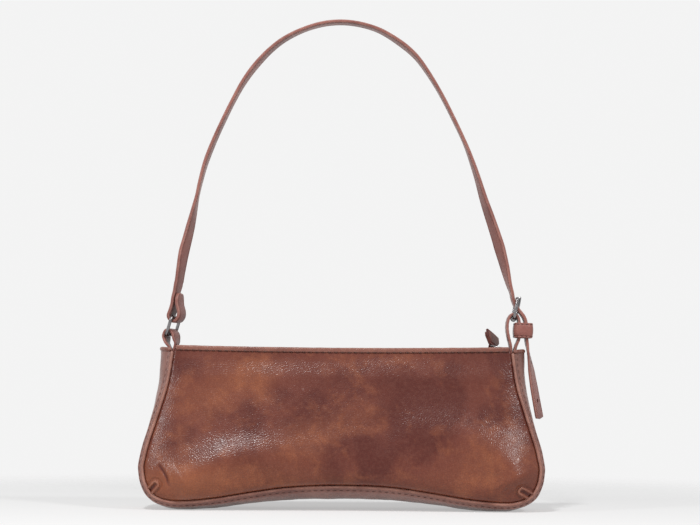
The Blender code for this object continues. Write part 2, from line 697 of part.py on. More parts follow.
for side, label in ((-1, "front"), (1, "back")):
    binding = sheet(
        f"{label}_top_binding", (LENGTH_CELL_COUNT, 1), binding_place(side), middle_of_bag,
        BINDING_DEPTH, -1, edge_leather, bag,
    )
    rounded(binding, BINDING_ROUND)
    sheet(
        f"{label}_facing", (LENGTH_CELL_COUNT, 1), facing_place(side), below, FACING_WALL, 0,
        strap_leather, bag,
    )

# Zip tapes: each is a flat tape with a bead of teeth along its inner edge


def comb_points():
    """The plan of the front row of teeth, from its left end. The back row is this one
    turned half round, so that its teeth face the front row's gaps."""
    points = [(TEETH_LEFT, -BEAD_OUTER_Y), (TEETH_LEFT, -BEAD_NOTCH_Y)]
    tooth = TOOTH_LENGTH_SHARE * TOOTH_PITCH
    low = TEETH_LEFT + (TOOTH_PITCH - tooth) / 2
    while low + tooth < TEETH_RIGHT:
        high = low + tooth
        points += [
            (low, -BEAD_NOTCH_Y), (low, -TEETH_INNER_Y),
            (high, -TEETH_INNER_Y), (high, -BEAD_NOTCH_Y),
        ]
        low += TOOTH_PITCH
    points += [(TEETH_RIGHT, -BEAD_NOTCH_Y), (TEETH_RIGHT, -BEAD_OUTER_Y)]
    return points


def flat_plate(name, points, thick, z, material, home):
    """A 2D outline filled and extruded to a plate of the given thickness about z."""
    curve = bpy.data.curves.new(name, "CURVE")
    curve.dimensions = "2D"
    curve.fill_mode = "BOTH"
    curve.extrude = thick / 2
    line = curve.splines.new("POLY")
    line.points.add(len(points) - 1)
    for spot, point in zip(line.points, points):
        spot.co = (*point, 0.0, 1.0)
    line.use_cyclic_u = True
    made = add_object(name, curve, material, home)
    made.location.z = z
    bpy.context.view_layer.update()
    return made


teeth = to_mesh(
    flat_plate("zip_tape_front", comb_points(), BEAD_THICK, ZIP_Z, zip_metal, bag)
)
tape = box(
    "tape_tool",
    (TAPE_RIGHT - TAPE_LEFT, TAPE_OUTER_Y - TAPE_INNER_Y, TAPE_WALL),
    ((TAPE_LEFT + TAPE_RIGHT) / 2, -(TAPE_OUTER_Y + TAPE_INNER_Y) / 2, ZIP_Z),
    zip_tape, tools,
)
front_tape = to_mesh(combine(teeth, tape, "UNION"))
back_tape = add_object("zip_tape_back", front_tape.data.copy(), zip_metal, bag)
back_tape.location = (TAPE_LEFT + TAPE_RIGHT, 0.0, ZIP_Z)
back_tape.rotation_euler.z = math.pi

for x, label in ((STOP_LEFT, "left"), (STOP_RIGHT, "right")):
    stop = box(
        f"zip_stop_{label}", (STOP_LENGTH, 2 * (TAPE_INNER_Y - GAP), STOP_THICK),
        (x, 0.0, ZIP_Z), zip_metal, bag,
    )
    rounded(stop, SLIDER_ROUND / 2)

# Slider: two plates joined by a neck, with lips round the teeth and a bridge on top

slider_at = Vector((SLIDER_X, 0.0, ZIP_Z))
slider = box(
    "zip_slider", (SLIDER_LENGTH, SLIDER_WIDTH, SLIDER_HEIGHT), slider_at, dark_nickel, bag
)
rounded(slider, SLIDER_ROUND)
for side, label in ((-1, "front"), (1, "back")):
    room = box(
        f"slider_room_{label}_tool",
        (2 * SLIDER_LENGTH, SLIDER_ROOM_Y - SLIDER_NECK / 2, SLIDER_ROOM_Z),
        slider_at + Vector((0.0, side * (SLIDER_ROOM_Y + SLIDER_NECK / 2) / 2, 0.0)),
        dark_nickel, tools,
    )
    combine(slider, room, "DIFFERENCE")
    slot = box(
        f"slider_slot_{label}_tool",
        (2 * SLIDER_LENGTH, SLIDER_WIDTH, SLIDER_SLOT_Z),
        slider_at + Vector((0.0, side * (SLIDER_NECK + SLIDER_WIDTH) / 2, 0.0)),
        dark_nickel, tools,
    )
    combine(slider, slot, "DIFFERENCE")
gap_cut = box(
    "slider_gap_tool", (SLIDER_LENGTH, SLIDER_ROOM_Y, SLIDER_ROOM_Z),
    slider_at - Vector((SLIDER_NECK_LENGTH, 0.0, 0.0)), dark_nickel, tools,
)
combine(slider, gap_cut, "DIFFERENCE")


def bridge_place(s, v):
    angle = math.pi * s
    x = SLIDER_X - BRIDGE_LENGTH / 2 * math.cos(angle)
    rise = BRIDGE_RISE * math.sin(angle) ** BRIDGE_ROUND_POWER
    z = ZIP_Z + SLIDER_HEIGHT / 2 - BRIDGE_SINK + rise
    return Vector((x, (2 * v - 1) * BRIDGE_WIDTH / 2, z))


bridge = sheet(
    "slider_bridge_tool", BRIDGE_CELL_COUNTS, bridge_place, lambda point: slider_at, BRIDGE_WALL, 0,
    dark_nickel, tools,
)
combine(slider, bridge, "UNION")
slide_axis = joint_axis("zip_slide_axis", slider_at, [slider])

# Zip pull: a round ring through the bridge, and a leather tab folded round the ring

pull_seat = slider_at + Vector((PULL_SEAT_X, PULL_SEAT_Y, SLIDER_HEIGHT / 2 + PULL_SEAT_UP))
pull_centre = pull_seat + PULL_RING_RADIUS * PULL_RING_WAY
ring_line = [
    pull_centre
    + PULL_RING_RADIUS * (math.cos(a) * PULL_RING_WAY + math.sin(a) * PULL_WIDTH_WAY)
    for a in np.linspace(0, 2 * math.pi, PULL_RING_POINT_COUNT, endpoint=False)
]
pull_ring = tube(
    "zip_pull_ring", ring_line, PULL_WIRE_RADIUS, dark_nickel, bag, closed=True, sides=2
)
pull_fold = pull_centre + PULL_RING_RADIUS * PULL_RING_WAY
pull_side_way = PULL_WIDTH_WAY.cross(PULL_UP_WAY).normalized()


def pull_place(s, v):
    """The folded tab: down one side from its end, round the ring and back up."""
    layer = (PULL_TAB_WALL + GAP) / 2
    straight = PULL_TAB_LENGTH - PULL_TAB_EYE
    turn = math.pi * PULL_TAB_EYE
    reach = s * (2 * straight + turn)
    if straight < reach < straight + turn:
        angle = (reach - straight) / PULL_TAB_EYE
        up = -PULL_TAB_EYE * math.sin(angle)
        out = PULL_TAB_EYE * math.cos(angle)
    else:
        first = reach <= straight
        up = PULL_TAB_LENGTH - reach if first else reach - straight - turn
        close = min(1, max(0, (up / PULL_TAB_EYE - 1) / PULL_TAB_CLOSE_SHARE))
        out = (1 if first else -1) * (PULL_TAB_EYE + (layer - PULL_TAB_EYE) * close)
    spread = min(1, max(0, up / (PULL_TAB_SPREAD_SHARE * PULL_TAB_LENGTH)))
    width = PULL_TAB_FOLD_WIDTH + (PULL_TAB_END_WIDTH - PULL_TAB_FOLD_WIDTH) * spread
    across = (2 * v - 1) * width / 2
    return pull_fold + up * PULL_UP_WAY + out * pull_side_way + across * PULL_WIDTH_WAY


pull_tab = sheet(
    "zip_pull_tab", PULL_TAB_CELL_COUNTS, pull_place, lambda point: pull_fold, PULL_TAB_WALL, 0,
    strap_leather, bag,
)
pull_axis = joint_axis("pull_ring_axis", pull_seat, [pull_ring], slide_axis)
joint_axis("pull_tab_axis", pull_fold, [pull_tab], pull_axis)

# Strap and tabs: ribbons bent along a line, twisted a little

level_way = Vector((0.0, 1.0, 0.0))


def ease(low, high, at):
    t = min(1, max(0, (at - low) / (high - low)))
    return t * t * (3 - 2 * t)


def turned(point, width_way):
    """The left fittings are turned a little about an upright line, more so higher up."""
    low = TAB_ROOT_Z + LEFT_TURN_START
    angle = LEFT_TURN * ease(low, low + LEFT_TURN_LENGTH, point.z)
    turn = Matrix.Rotation(angle, 3, "Z")
    centre = Vector((-TAB_X, 0.0, 0.0))
    return turn @ (point - centre) + centre, turn @ width_way


def ribbon(name, points, ways, widths, wall, cells):
    """A strip of strap leather along points, lying across ways."""
    places = np.linspace(0, 1, len(points))
    table = np.hstack([np.array(points), np.array(ways), np.array(widths)[:, None]])

    def place(s, v):
        row = [float(np.interp(s, places, column)) for column in table.T]
        return Vector(row[:3]) + Vector(row[3:6]).normalized() * (v - 0.5) * row[6]

    return sheet(name, (cells, 2), place, below, wall, 0, strap_leather, bag)


def places_from(origin_x, origin_z, size_x, size_z, shares):
    return [(origin_x + size_x * x, origin_z + size_z * z) for x, z in shares]


def strap_path():
    """Places of the strap's middle line, from the tongue's tip to the tail's tip."""
    rise = places_from(RING_TOP.x, RING_TOP.z, FOLD_REACH, TONGUE_LENGTH, STRAP_RISE_SHARES)
    rise_x, rise_z = np.array(rise).T
    tongue = []
    for layer, up in TONGUE_LAYER_SHARES:
        z = RING_TOP.z + TONGUE_LENGTH * up
        tongue.append((np.interp(z, rise_z, rise_x) + TONGUE_LAYER * layer, z))
    fold = places_from(RING_TOP.x, RING_TOP.z, FOLD_REACH, FOLD_REACH, FOLD_SHARES)
    past = places_from(BUCKLE_TOP.x, BUCKLE_TOP.z, PASS_REACH, BUCKLE_HEIGHT, PASS_SHARES)
    heel = places_from(BUCKLE_HEEL.x, BUCKLE_HEEL.z, HEEL_REACH, BUCKLE_UP, HEEL_SHARES)
    tail = places_from(heel[-1][0], heel[-1][1], TAIL_OUT, -TAIL_DROP, TAIL_SHARES)
    peak_z = TAB_ROOT_Z + STRAP_RISE
    left_foot, right_foot = rise[-1], past[0]
    arch = places_from(
        left_foot[0], left_foot[1], ARCH_PEAK_X - left_foot[0], peak_z - left_foot[1],
        LEFT_ARCH_SHARES,
    ) + places_from(
        right_foot[0], right_foot[1], ARCH_PEAK_X - right_foot[0], peak_z - right_foot[1],
        RIGHT_ARCH_SHARES[:-1],
    )
    return np.array(tongue + fold + rise + arch + past + heel + tail)


def tab_path(side, bar, eye_shares):
    """Places of a tab's middle line, from its root up round the bar and back down."""
    stem = bar.z - TAB_ROOT_Z
    inner, outer = TAB_X - (TAB_WALL + TAB_LAYER_GAP) / 2, TAB_X + (TAB_WALL + TAB_LAYER_GAP) / 2
    first, last = (inner, outer) if side > 0 else (-outer, -inner)
    low = TAB_ROOT_Z - TAB_ROOT_RADIUS
    loop = [(bar.x + TAB_EYE * x, bar.z + TAB_EYE * z - stem * down) for x, z, down in eye_shares]
    return [(first, low), (first, TAB_ROOT_Z)] + loop + [(last, TAB_ROOT_Z), (last, low)]


def twisted_way(share, along):
    """The way across the strap at a share of its length, where it runs along that way."""
    twist = np.interp(share, *zip(*STRAP_TWIST_SHARES)) * DEG
    return Matrix.Rotation(twist, 3, along) @ level_way


line_path = strap_path()
part_ends = zip(STRAP_PART_SHARES, STRAP_PART_SHARES[1:], STRAP_PART_CELL_COUNTS)
shares = np.concatenate(
    [np.linspace(low, high, cells, endpoint=False) for low, high, cells in part_ends] + [[1.0]]
)
fine_line = smooth_line(line_path, 3 * FINE_POINT_COUNT)
fine_shares = np.linspace(0, 1, len(fine_line))
strap_line = np.column_stack([np.interp(shares, fine_shares, c) for c in fine_line.T])
strap_points, strap_ways = [], []
tangents = np.gradient(strap_line, axis=0)
for (x, z), (tangent_x, tangent_z), share in zip(strap_line, tangents, shares):
    point = Vector((x, 0.0, z))
    if share < LEFT_END_SHARE:
        point, way = turned(point, level_way)
    else:
        keep = 1 - ease(LEFT_END_SHARE, 2 * LEFT_END_SHARE, share)
        point.y = keep * turned(point, level_way)[0].y
        way = twisted_way(share, Vector((tangent_x, 0.0, tangent_z)))
    strap_points.append(point)
    strap_ways.append(way)
strap_widths = []
for point in strap_points:
    from_tip = min(1, (strap_points[-1] - point).length / TIP_ROUND)
    drawn_in = 1 - math.sqrt(1 - (1 - from_tip) ** 2)
    strap_widths.append(STRAP_WIDTH - 2 * TIP_ROUND * TIP_ROUND_SHARE * drawn_in)
strap = ribbon(
    "strap", strap_points, strap_ways, strap_widths, STRAP_WALL, sum(STRAP_PART_CELL_COUNTS)
)

# Belt holes, and the slanting hole that the prong has taken

prong_way = (BUCKLE_TOP - BUCKLE_HEEL).normalized()
prong_side = Vector((prong_way.z, 0.0, -prong_way.x))
prong_rest = BUCKLE_TOP + (FITTING_WIRE + GAP / 2 + PRONG_RADIUS) * prong_side
prong_run = (prong_rest - BUCKLE_HEEL).normalized()
prong_tip = prong_rest + PRONG_TIP_PAST * prong_run
hole = rod(
    "prong_hole_tool", BUCKLE_HEEL + (FITTING_WIRE + PRONG_RADIUS) * prong_run, prong_rest,
    PRONG_RADIUS + PRONG_HOLE_ROOM, strap_leather, tools, sides=THIN_SIDE_COUNT,
)
combine(strap, hole, "DIFFERENCE")
tail_start = int(STRAP_PART_SHARES[2] * len(fine_line))
hole_z = BUCKLE_HEEL.z - HOLE_FIRST_DROP
while hole_z > fine_line[-1][1] + HOLE_TIP_ROOM:
    spot = tail_start + np.abs(fine_line[tail_start:, 1] - hole_z).argmin()
    along_x, along_z = fine_line[spot + 1] - fine_line[spot - 1]
    along = Vector((along_x, 0.0, along_z))
    across = along.cross(twisted_way(fine_shares[spot], along)).normalized()
    across *= STRAP_WALL / 2 + HOLE_CUT_PAST
    centre = Vector((fine_line[spot][0], 0.0, fine_line[spot][1]))
    cut = rod(
        "belt_hole_tool", centre - across, centre + across, HOLE_RADIUS, strap_leather, tools,
        sides=THIN_SIDE_COUNT,
    )
    combine(strap, cut, "DIFFERENCE")
    hole_z -= HOLE_STEP


def root_widths(points):
    """Full width above the root's middle, and a half round below it."""
    widths = []
    for point in points:
        below_root = max(0, TAB_ROOT_Z - point.z)
        half = math.sqrt(max(0, TAB_ROOT_RADIUS**2 - below_root**2))
        widths.append(2 * max(half, TAB_ROOT_LEAST))
    return widths


def tab_line(path, cells, turn_left):
    points, ways = [], []
    for x, z in smooth_line(path, cells + 1):
        point, way = Vector((x, 0.0, z)), level_way
        if turn_left:
            point, way = turned(point, way)
        points.append(point)
        ways.append(way)
    return points, ways


left_points, left_ways = tab_line(tab_path(-1, RING_BOTTOM, LEFT_TAB_SHARES), TAB_CELL_COUNT, True)
left_tab = ribbon(
    "left_tab", left_points, left_ways, root_widths(left_points), TAB_WALL, TAB_CELL_COUNT
)
right_points, right_ways = tab_line(tab_path(1, BUCKLE_HEEL, RIGHT_TAB_SHARES), TAB_CELL_COUNT, False)
right_tab = ribbon(
    "right_tab", right_points, right_ways, root_widths(right_points), TAB_WALL, TAB_CELL_COUNT
)
slot_side, slot_up = PRONG_SLOT_SHARES
prong_slot = box(
    "prong_slot_tool",
    (PRONG_SLOT_DEPTH, PRONG_EYE_WIDTH + 2 * PRONG_SLOT_ROOM, PRONG_SLOT_LENGTH),
    BUCKLE_HEEL + slot_side * PRONG_SLOT_DEPTH * prong_side
    + slot_up * PRONG_SLOT_LENGTH * prong_way,
    strap_leather, tools,
)
combine(right_tab, prong_slot, "DIFFERENCE")

# Ring, buckle frame, prong and keeper

ring_top, ring_way = turned(RING_TOP, level_way)
ring_bottom, _ = turned(RING_BOTTOM, level_way)
left_ring = wire_frame("left_ring", ring_bottom, ring_top, ring_way)
buckle_frame = wire_frame("buckle_frame", BUCKLE_HEEL, BUCKLE_TOP, level_way)

eye_inner = FITTING_WIRE + PRONG_EYE_ROOM
across = Vector((0.0, PRONG_EYE_WIDTH / 2, 0.0))
prong = rod(
    "buckle_prong", BUCKLE_HEEL - across, BUCKLE_HEEL + across, eye_inner + PRONG_EYE_WALL,
    dark_nickel, bag,
)
shank_line = [
    BUCKLE_HEEL + (eye_inner + PRONG_EYE_WALL / 2) * prong_run, prong_rest, prong_tip
]
shank = tube("prong_shank_tool", shank_line, PRONG_RADIUS, dark_nickel, tools, sides=2)
bpy.context.view_layer.update()
combine(prong, to_mesh(shank), "UNION")
eye = rod(
    "prong_eye_tool", BUCKLE_HEEL - 2 * across, BUCKLE_HEEL + 2 * across, eye_inner,
    dark_nickel, tools,
)
combine(prong, eye, "DIFFERENCE")

keeper_line = rounded_corners(
    (KEEPER_WIDTH - KEEPER_WALL) / 2, (KEEPER_DEPTH - KEEPER_WALL) / 2, KEEPER_CORNER
)
bm = bmesh.new()
bmesh.ops.create_circle(bm, segments=len(keeper_line), radius=KEEPER_WIDTH, cap_ends=False)
for vert, (x, y) in zip(bm.verts, keeper_line):
    vert.co = Vector((x, y, -KEEPER_HEIGHT / 2))
made = bmesh.ops.extrude_edge_only(bm, edges=bm.edges)
moved = [item for item in made["geom"] if isinstance(item, bmesh.types.BMVert)]
bmesh.ops.translate(bm, vec=Vector((0.0, 0.0, KEEPER_HEIGHT)), verts=moved)
bmesh.ops.recalc_face_normals(bm, faces=bm.faces)
keeper = mesh_object("strap_keeper", bm, strap_leather, bag)
keeper.location = KEEPER_CENTRE
keeper.rotation_euler.y = KEEPER_LEAN
add_wall(keeper, KEEPER_WALL, 0)

# The strap swings about the tabs' roots, and each fitting about its bar

swing_axis = joint_axis(
    "strap_swing_axis", Vector((0.0, 0.0, TAB_ROOT_Z)), [strap, left_tab, right_tab]
)
joint_axis("ring_axis", ring_top, [left_ring], swing_axis)
heel_axis = joint_axis("buckle_axis", BUCKLE_HEEL, [buckle_frame], swing_axis)
joint_axis("prong_axis", BUCKLE_HEEL, [prong], heel_axis)
joint_axis("keeper_axis", KEEPER_CENTRE, [keeper], swing_axis)
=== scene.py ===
import math
from itertools import repeat

import bmesh
import bpy
import numpy as np
from mathutils import Matrix, Vector, noise


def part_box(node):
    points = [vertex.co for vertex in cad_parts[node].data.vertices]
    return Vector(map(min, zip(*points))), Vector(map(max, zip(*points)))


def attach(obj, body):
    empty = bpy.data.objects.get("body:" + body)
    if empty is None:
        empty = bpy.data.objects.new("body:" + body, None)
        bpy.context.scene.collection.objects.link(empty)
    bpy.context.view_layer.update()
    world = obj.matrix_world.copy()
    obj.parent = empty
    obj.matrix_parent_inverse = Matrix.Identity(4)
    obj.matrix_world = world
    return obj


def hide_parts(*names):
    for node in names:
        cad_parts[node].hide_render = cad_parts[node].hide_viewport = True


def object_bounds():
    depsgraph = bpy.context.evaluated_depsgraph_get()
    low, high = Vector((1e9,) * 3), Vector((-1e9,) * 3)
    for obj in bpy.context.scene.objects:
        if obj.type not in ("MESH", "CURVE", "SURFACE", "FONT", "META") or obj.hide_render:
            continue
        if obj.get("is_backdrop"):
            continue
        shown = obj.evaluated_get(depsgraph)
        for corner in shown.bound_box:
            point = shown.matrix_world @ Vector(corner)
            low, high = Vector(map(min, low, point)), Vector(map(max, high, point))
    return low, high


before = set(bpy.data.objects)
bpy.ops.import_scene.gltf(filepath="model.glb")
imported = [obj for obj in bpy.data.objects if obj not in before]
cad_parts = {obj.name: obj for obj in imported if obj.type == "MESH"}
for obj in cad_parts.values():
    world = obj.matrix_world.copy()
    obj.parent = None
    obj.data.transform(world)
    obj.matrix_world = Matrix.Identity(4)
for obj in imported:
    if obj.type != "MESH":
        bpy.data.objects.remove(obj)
cad_box = [list(corner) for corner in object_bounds()]

# Studio: a pale tabletop that fades out round the bag, three soft lamps and a camera.
# The camera stands in front of the bag, a little below the middle of the picture, and
# leans by the small angle at which the bag stands in it.

MM = 0.001
DEG = math.radians(1)

PICTURE_MIDDLE = Vector((4.7, -26.0, 167.0)) * MM
CAMERA_REACH = 1312 * MM
CAMERA_RISE = -4.0 * DEG
CAMERA_LEAN = 0.4 * DEG
LENS, SENSOR = 100.0, 36.0
TABLE_RADIUS, TABLE_SIDES = 900 * MM, 96
TABLE_FADE_START, TABLE_FADE_END = 225 * MM, 675 * MM
WHITE, BACKDROP_TONE = (1.0, 1.0, 1.0), (0.90, 0.90, 0.90)
TABLE_GLOW = 0.48
FILL_STRENGTH = 0.28
LAMPS = {
    "high_lamp": (Vector((-260, -855, 1270)) * MM, 190 * MM, 12.0),
    "left_lamp": (Vector((-1010, -880, 600)) * MM, 260 * MM, 4.6),
    "right_lamp": (Vector((860, -900, 900)) * MM, 220 * MM, 7.0),
}


def link(made):
    bpy.context.scene.collection.objects.link(made)
    return made


def look_at(made, place, target, lean=0.0):
    """Stands an object at a place, turned to a target and leaning by an angle."""
    made.location = place
    made.rotation_mode = "QUATERNION"
    turn = (target - place).to_track_quat("-Z", "Y")
    made.rotation_quaternion = turn @ Matrix.Rotation(lean, 3, "Z").to_quaternion()


def soft_lamp(name, place, size, power):
    lamp = bpy.data.lights.new(name, "AREA")
    lamp.shape = "DISK"
    lamp.size = size
    lamp.energy = power
    look_at(link(bpy.data.objects.new(name, lamp)), place, PICTURE_MIDDLE)


def finished(name, bm):
    """A smooth shaded object from a bmesh."""
    mesh = bpy.data.meshes.new(name)
    bm.to_mesh(mesh)
    bm.free()
    mesh.shade_smooth()
    return link(bpy.data.objects.new(name, mesh))


class Tree:
    """The nodes of a material or of the world, with short ways to add them."""

    def __init__(self, owner):
        owner.use_nodes = True
        self.nodes = owner.node_tree.nodes
        self.links = owner.node_tree.links

    def join(self, value, socket):
        """Links an output, or sets a plain value."""
        if isinstance(value, bpy.types.NodeSocket):
            self.links.new(value, socket)
        elif isinstance(value, tuple):
            socket.default_value = (*value, 1.0)[:len(socket.default_value)]
        else:
            socket.default_value = value

    def add(self, kind, *values, result=0, settings=(), **inputs):
        """Adds a node, and gives one output of it. values go to its first inputs in order."""
        node = self.nodes.new(kind)
        for key, value in dict(settings).items():
            setattr(node, key, value)
        for value, socket in zip(values, node.inputs):
            self.join(value, socket)
        for key, value in inputs.items():
            self.join(value, node.inputs[key.replace("_", " ")])
        return node.outputs[result]

    def math(self, operation, first, second=0.5):
        return self.add("ShaderNodeMath", first, second, settings={"operation": operation})

    def remap(self, value, low, high, to_low=0.0, to_high=1.0):
        return self.add(
            "ShaderNodeMapRange", result="Result", settings={"interpolation_type": "SMOOTHSTEP"},
            Value=value, From_Min=low, From_Max=high, To_Min=to_low, To_Max=to_high,
        )


def rays_that_show(tree):
    """1 for a ray that shows its background: of the camera, of a gloss or through glass."""
    path = tree.nodes.new("ShaderNodeLightPath")
    shown = path.outputs["Is Camera Ray"]
    for kind in ("Is Glossy Ray", "Is Transmission Ray"):
        shown = tree.math("MAXIMUM", shown, path.outputs[kind])
    return shown


camera = bpy.data.cameras.new("camera")
camera.lens, camera.sensor_width = LENS, SENSOR
camera_object = link(bpy.data.objects.new("camera", camera))
camera_way = Vector((0.0, -math.cos(CAMERA_RISE), math.sin(CAMERA_RISE)))
look_at(camera_object, PICTURE_MIDDLE + CAMERA_REACH * camera_way, PICTURE_MIDDLE, CAMERA_LEAN)
bpy.context.scene.camera = camera_object
bpy.context.scene.view_settings.view_transform = "Standard"
for name, (place, size, power) in LAMPS.items():
    soft_lamp(name, place, size, power)

world = bpy.data.worlds.new("studio")
bpy.context.scene.world = world
sky = Tree(world)
sky.nodes.clear()
fill = sky.add("ShaderNodeBackground", WHITE, FILL_STRENGTH)
backdrop = sky.add("ShaderNodeBackground", BACKDROP_TONE, 1.0)
sky_light = sky.add("ShaderNodeMixShader", rays_that_show(sky), fill, backdrop)
sky.join(sky_light, sky.nodes.new("ShaderNodeOutputWorld").inputs["Surface"])

bm = bmesh.new()
bmesh.ops.create_circle(bm, segments=TABLE_SIDES, radius=TABLE_RADIUS, cap_ends=True)
tabletop = finished("tabletop", bm)
table_paint = bpy.data.materials.new("tabletop")
table = Tree(table_paint)
table.nodes.clear()
table_place = table.nodes.new("ShaderNodeTexCoord").outputs["Object"]
table_reach = table.add(
    "ShaderNodeVectorMath", table_place, result="Value", settings={"operation": "LENGTH"}
)
table_glow = table.math("MULTIPLY", rays_that_show(table), TABLE_GLOW)
table_pale = table.add(
    "ShaderNodeMixShader", table_glow, table.add("ShaderNodeBsdfDiffuse", BACKDROP_TONE),
    table.add("ShaderNodeEmission", BACKDROP_TONE),
)
table_surface = table.add(
    "ShaderNodeMixShader", table.remap(table_reach, TABLE_FADE_START, TABLE_FADE_END),
    table_pale, table.add("ShaderNodeBsdfTransparent"),
)
table.join(table_surface, table.nodes.new("ShaderNodeOutputMaterial").inputs["Surface"])
tabletop.data.materials.append(table_paint)
tabletop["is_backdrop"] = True

# Front and back panels: one piece of mottled brown leather each, puffed by the filling
# behind it, drawn in at the seam and pinched to a small stitched dart at each lower
# corner. They are sewn to the gusset all round, and folded under the binding on top.

SEAM_HALF_WIDTH, SEAM_HALF_DEPTH = 132.3 * MM, 26.0 * MM
SEAM_FLOOR, TOP_HEIGHT, TOP_SAG = 6.5 * MM, 111.0 * MM, 1.2 * MM
GUSSET_BULGE = 10.7 * MM
SEAM_SHARES = np.array([
    (0.860, 1.000, 0.577, 1.000), (0.874, 0.855, 0.635, 0.869), (0.890, 0.735, 0.692, 0.748),
    (0.921, 0.597, 0.769, 0.617), (0.958, 0.445, 0.846, 0.505), (0.983, 0.340, 0.904, 0.467),
    (1.000, 0.234, 0.954, 0.477), (1.000, 0.187, 0.969, 0.486), (0.990, 0.120, 0.985, 0.505),
    (0.964, 0.057, 1.000, 0.542), (0.922, 0.022, 1.000, 0.579), (0.869, 0.003, 1.000, 0.617),
    (0.813, 0.000, 1.000, 0.673), (0.733, 0.007, 1.000, 0.710), (0.627, 0.022, 1.000, 0.729),
    (0.461, 0.057, 1.000, 0.804), (0.302, 0.087, 1.000, 0.897), (0.151, 0.102, 1.000, 0.953),
    (0.000, 0.106, 1.000, 0.972),
])
SEAM_ROWS = SEAM_SHARES * (SEAM_HALF_WIDTH, TOP_HEIGHT - SEAM_FLOOR, SEAM_HALF_DEPTH, GUSSET_BULGE)
SEAM_ROWS += (0.0, SEAM_FLOOR, 0.0, 0.0)
CORNER_SHARE = 0.459
LINE_STEPS, FINE_POINTS = 24, 1200
SIDES = ((-1, "front"), (1, "back"))
BINDING_HEIGHT, BINDING_LAP = 3.4 * MM, 0.5 * MM
PANEL_WALL = 1.8 * MM
PANEL_CELLS = (330, 140)
CROWN = {"front": 8.5 * MM, "back": 7.0 * MM}
SWELL = 1.17
TUCK_DEPTH, TUCK_REACH = 0.6 * MM, 1.6 * MM
ROLL_HEIGHT, ROLL_REACH, ROLL_FADE = 2.2 * MM, 16 * MM, 0.2
TOP_FADE = 0.08
RIDGE_HEIGHT = {-1: 5.6 * MM, 1: 2.6 * MM}
RIDGE_SPREAD, RIDGE_RISE_SHARE, RIDGE_FALL = 13 * MM, 0.12, 0.75
RIDGES = [
    [(-116, 14), (-96, 25), (-81, 32), (-64, 36), (-44, 37), (-20, 34)],
    [(119, 14), (113, 30), (103, 41), (90, 49), (72, 54), (50, 55)],
]
DARTS = [((-129.3, 11.6), (-124.2, 17.2)), ((127.6, 10.6), (120.4, 14.6))]
DART_LOOP, DART_DEEP = 2.0 * MM, 0.8 * MM
DART_RIM, DART_RIM_WIDE = 1.9, 0.45
CREASES = [
    [(-121.5, 29.8), (-118.5, 25.5), (-116.4, 21.6), (-115.0, 16.5)],
    [(112, 18), (108, 13.5)],
    [(108.5, 19), (104, 14)],
]
CREASE_DEEP, CREASE_WIDE = 1.0 * MM, 0.8 * MM
CREASE_SHARES = (1.0, 0.35, 0.35)
CREASE_LIP, CREASE_LIP_AT = 0.5, 2.6
SLACK_HEIGHT, SLACK_SIZE = 0.55 * MM, 38 * MM
FINE_SLACK, FINE_SLACK_SIZE = 0.35 * SLACK_HEIGHT, 0.4 * SLACK_SIZE
PUCKER_HEIGHT, PUCKER_SIZE, PUCKER_REACH = 0.22 * MM, 5 * MM, 6 * MM
PUCKER_RISE, RELIEF_RISE = 1.5 * MM, 1.2 * MM
SIDE_GATHER, BOTTOM_GATHER = 0.18, 1.25

LEATHER_DARK = (0.082, 0.015, 0.010)
LEATHER_MID = (0.145, 0.037, 0.023)
LEATHER_WARM = (0.285, 0.090, 0.040)
LEATHER_WORN = (0.330, 0.150, 0.105)
PEBBLE_SIZE, PEBBLE_HEIGHT = 1.45 * MM, 0.05 * MM
FINE_SIZE, FINE_HEIGHT = 0.35 * MM, 0.007 * MM
CLOUD_SIZE, PATCH_SIZE, FLECK_SIZE, HAZE_SIZE = 46 * MM, 13 * MM, 2.2 * MM, 9 * MM
PANEL_GLOSS, HAZE = 0.21, 0.05


def smooth_line(rows, count):
    """Rows resampled to count points, evenly spaced in x and z, on a smooth line."""
    rows = np.asarray(rows, float)
    padded = np.vstack([2 * rows[0] - rows[1], rows, 2 * rows[-1] - rows[-2]])
    dense = []
    steps = np.linspace(0, 1, LINE_STEPS, endpoint=False)[:, None]
    for a, b, c, d in zip(padded, padded[1:], padded[2:], padded[3:]):
        bend = 2 * a - 5 * b + 4 * c - d
        cube = 3 * b - a - 3 * c + d
        dense.append(b + 0.5 * steps * ((c - a) + steps * (bend + steps * cube)))
    dense = np.vstack(dense + [padded[-2][None]])
    step_lengths = np.linalg.norm(np.diff(dense[:, :2], axis=0), axis=1)
    reach = np.concatenate([[0], np.cumsum(step_lengths)])
    at = np.linspace(0, reach[-1], count)
    return np.column_stack([np.interp(at, reach, column) for column in dense.T])


def seam_line(share_from, share_to, count, mirrored=True):
    """Points of the seam with their outward normals, between two shares of the half line.

    Each row is x, z, half depth, bulge, normal x, normal z."""
    fine = smooth_line(SEAM_ROWS, FINE_POINTS)
    way = np.gradient(fine[:, :2], axis=0)
    way /= np.linalg.norm(way, axis=1)[:, None]
    fine = np.hstack([fine, -way[:, 1:], way[:, :1]])
    places = np.linspace(0, 1, len(fine))
    at = np.linspace(share_from, share_to, count)
    half = np.column_stack([np.interp(at, places, column) for column in fine.T])
    if not mirrored:
        return half
    return np.vstack([half, half[:-1][::-1] * (-1, 1, 1, 1, -1, 1)])


def step_between(low, high, at):
    """0 below low, 1 above high, and a smooth rise between."""
    t = min(1.0, max(0.0, (at - low) / (high - low)))
    return t * t * (3 - 2 * t)


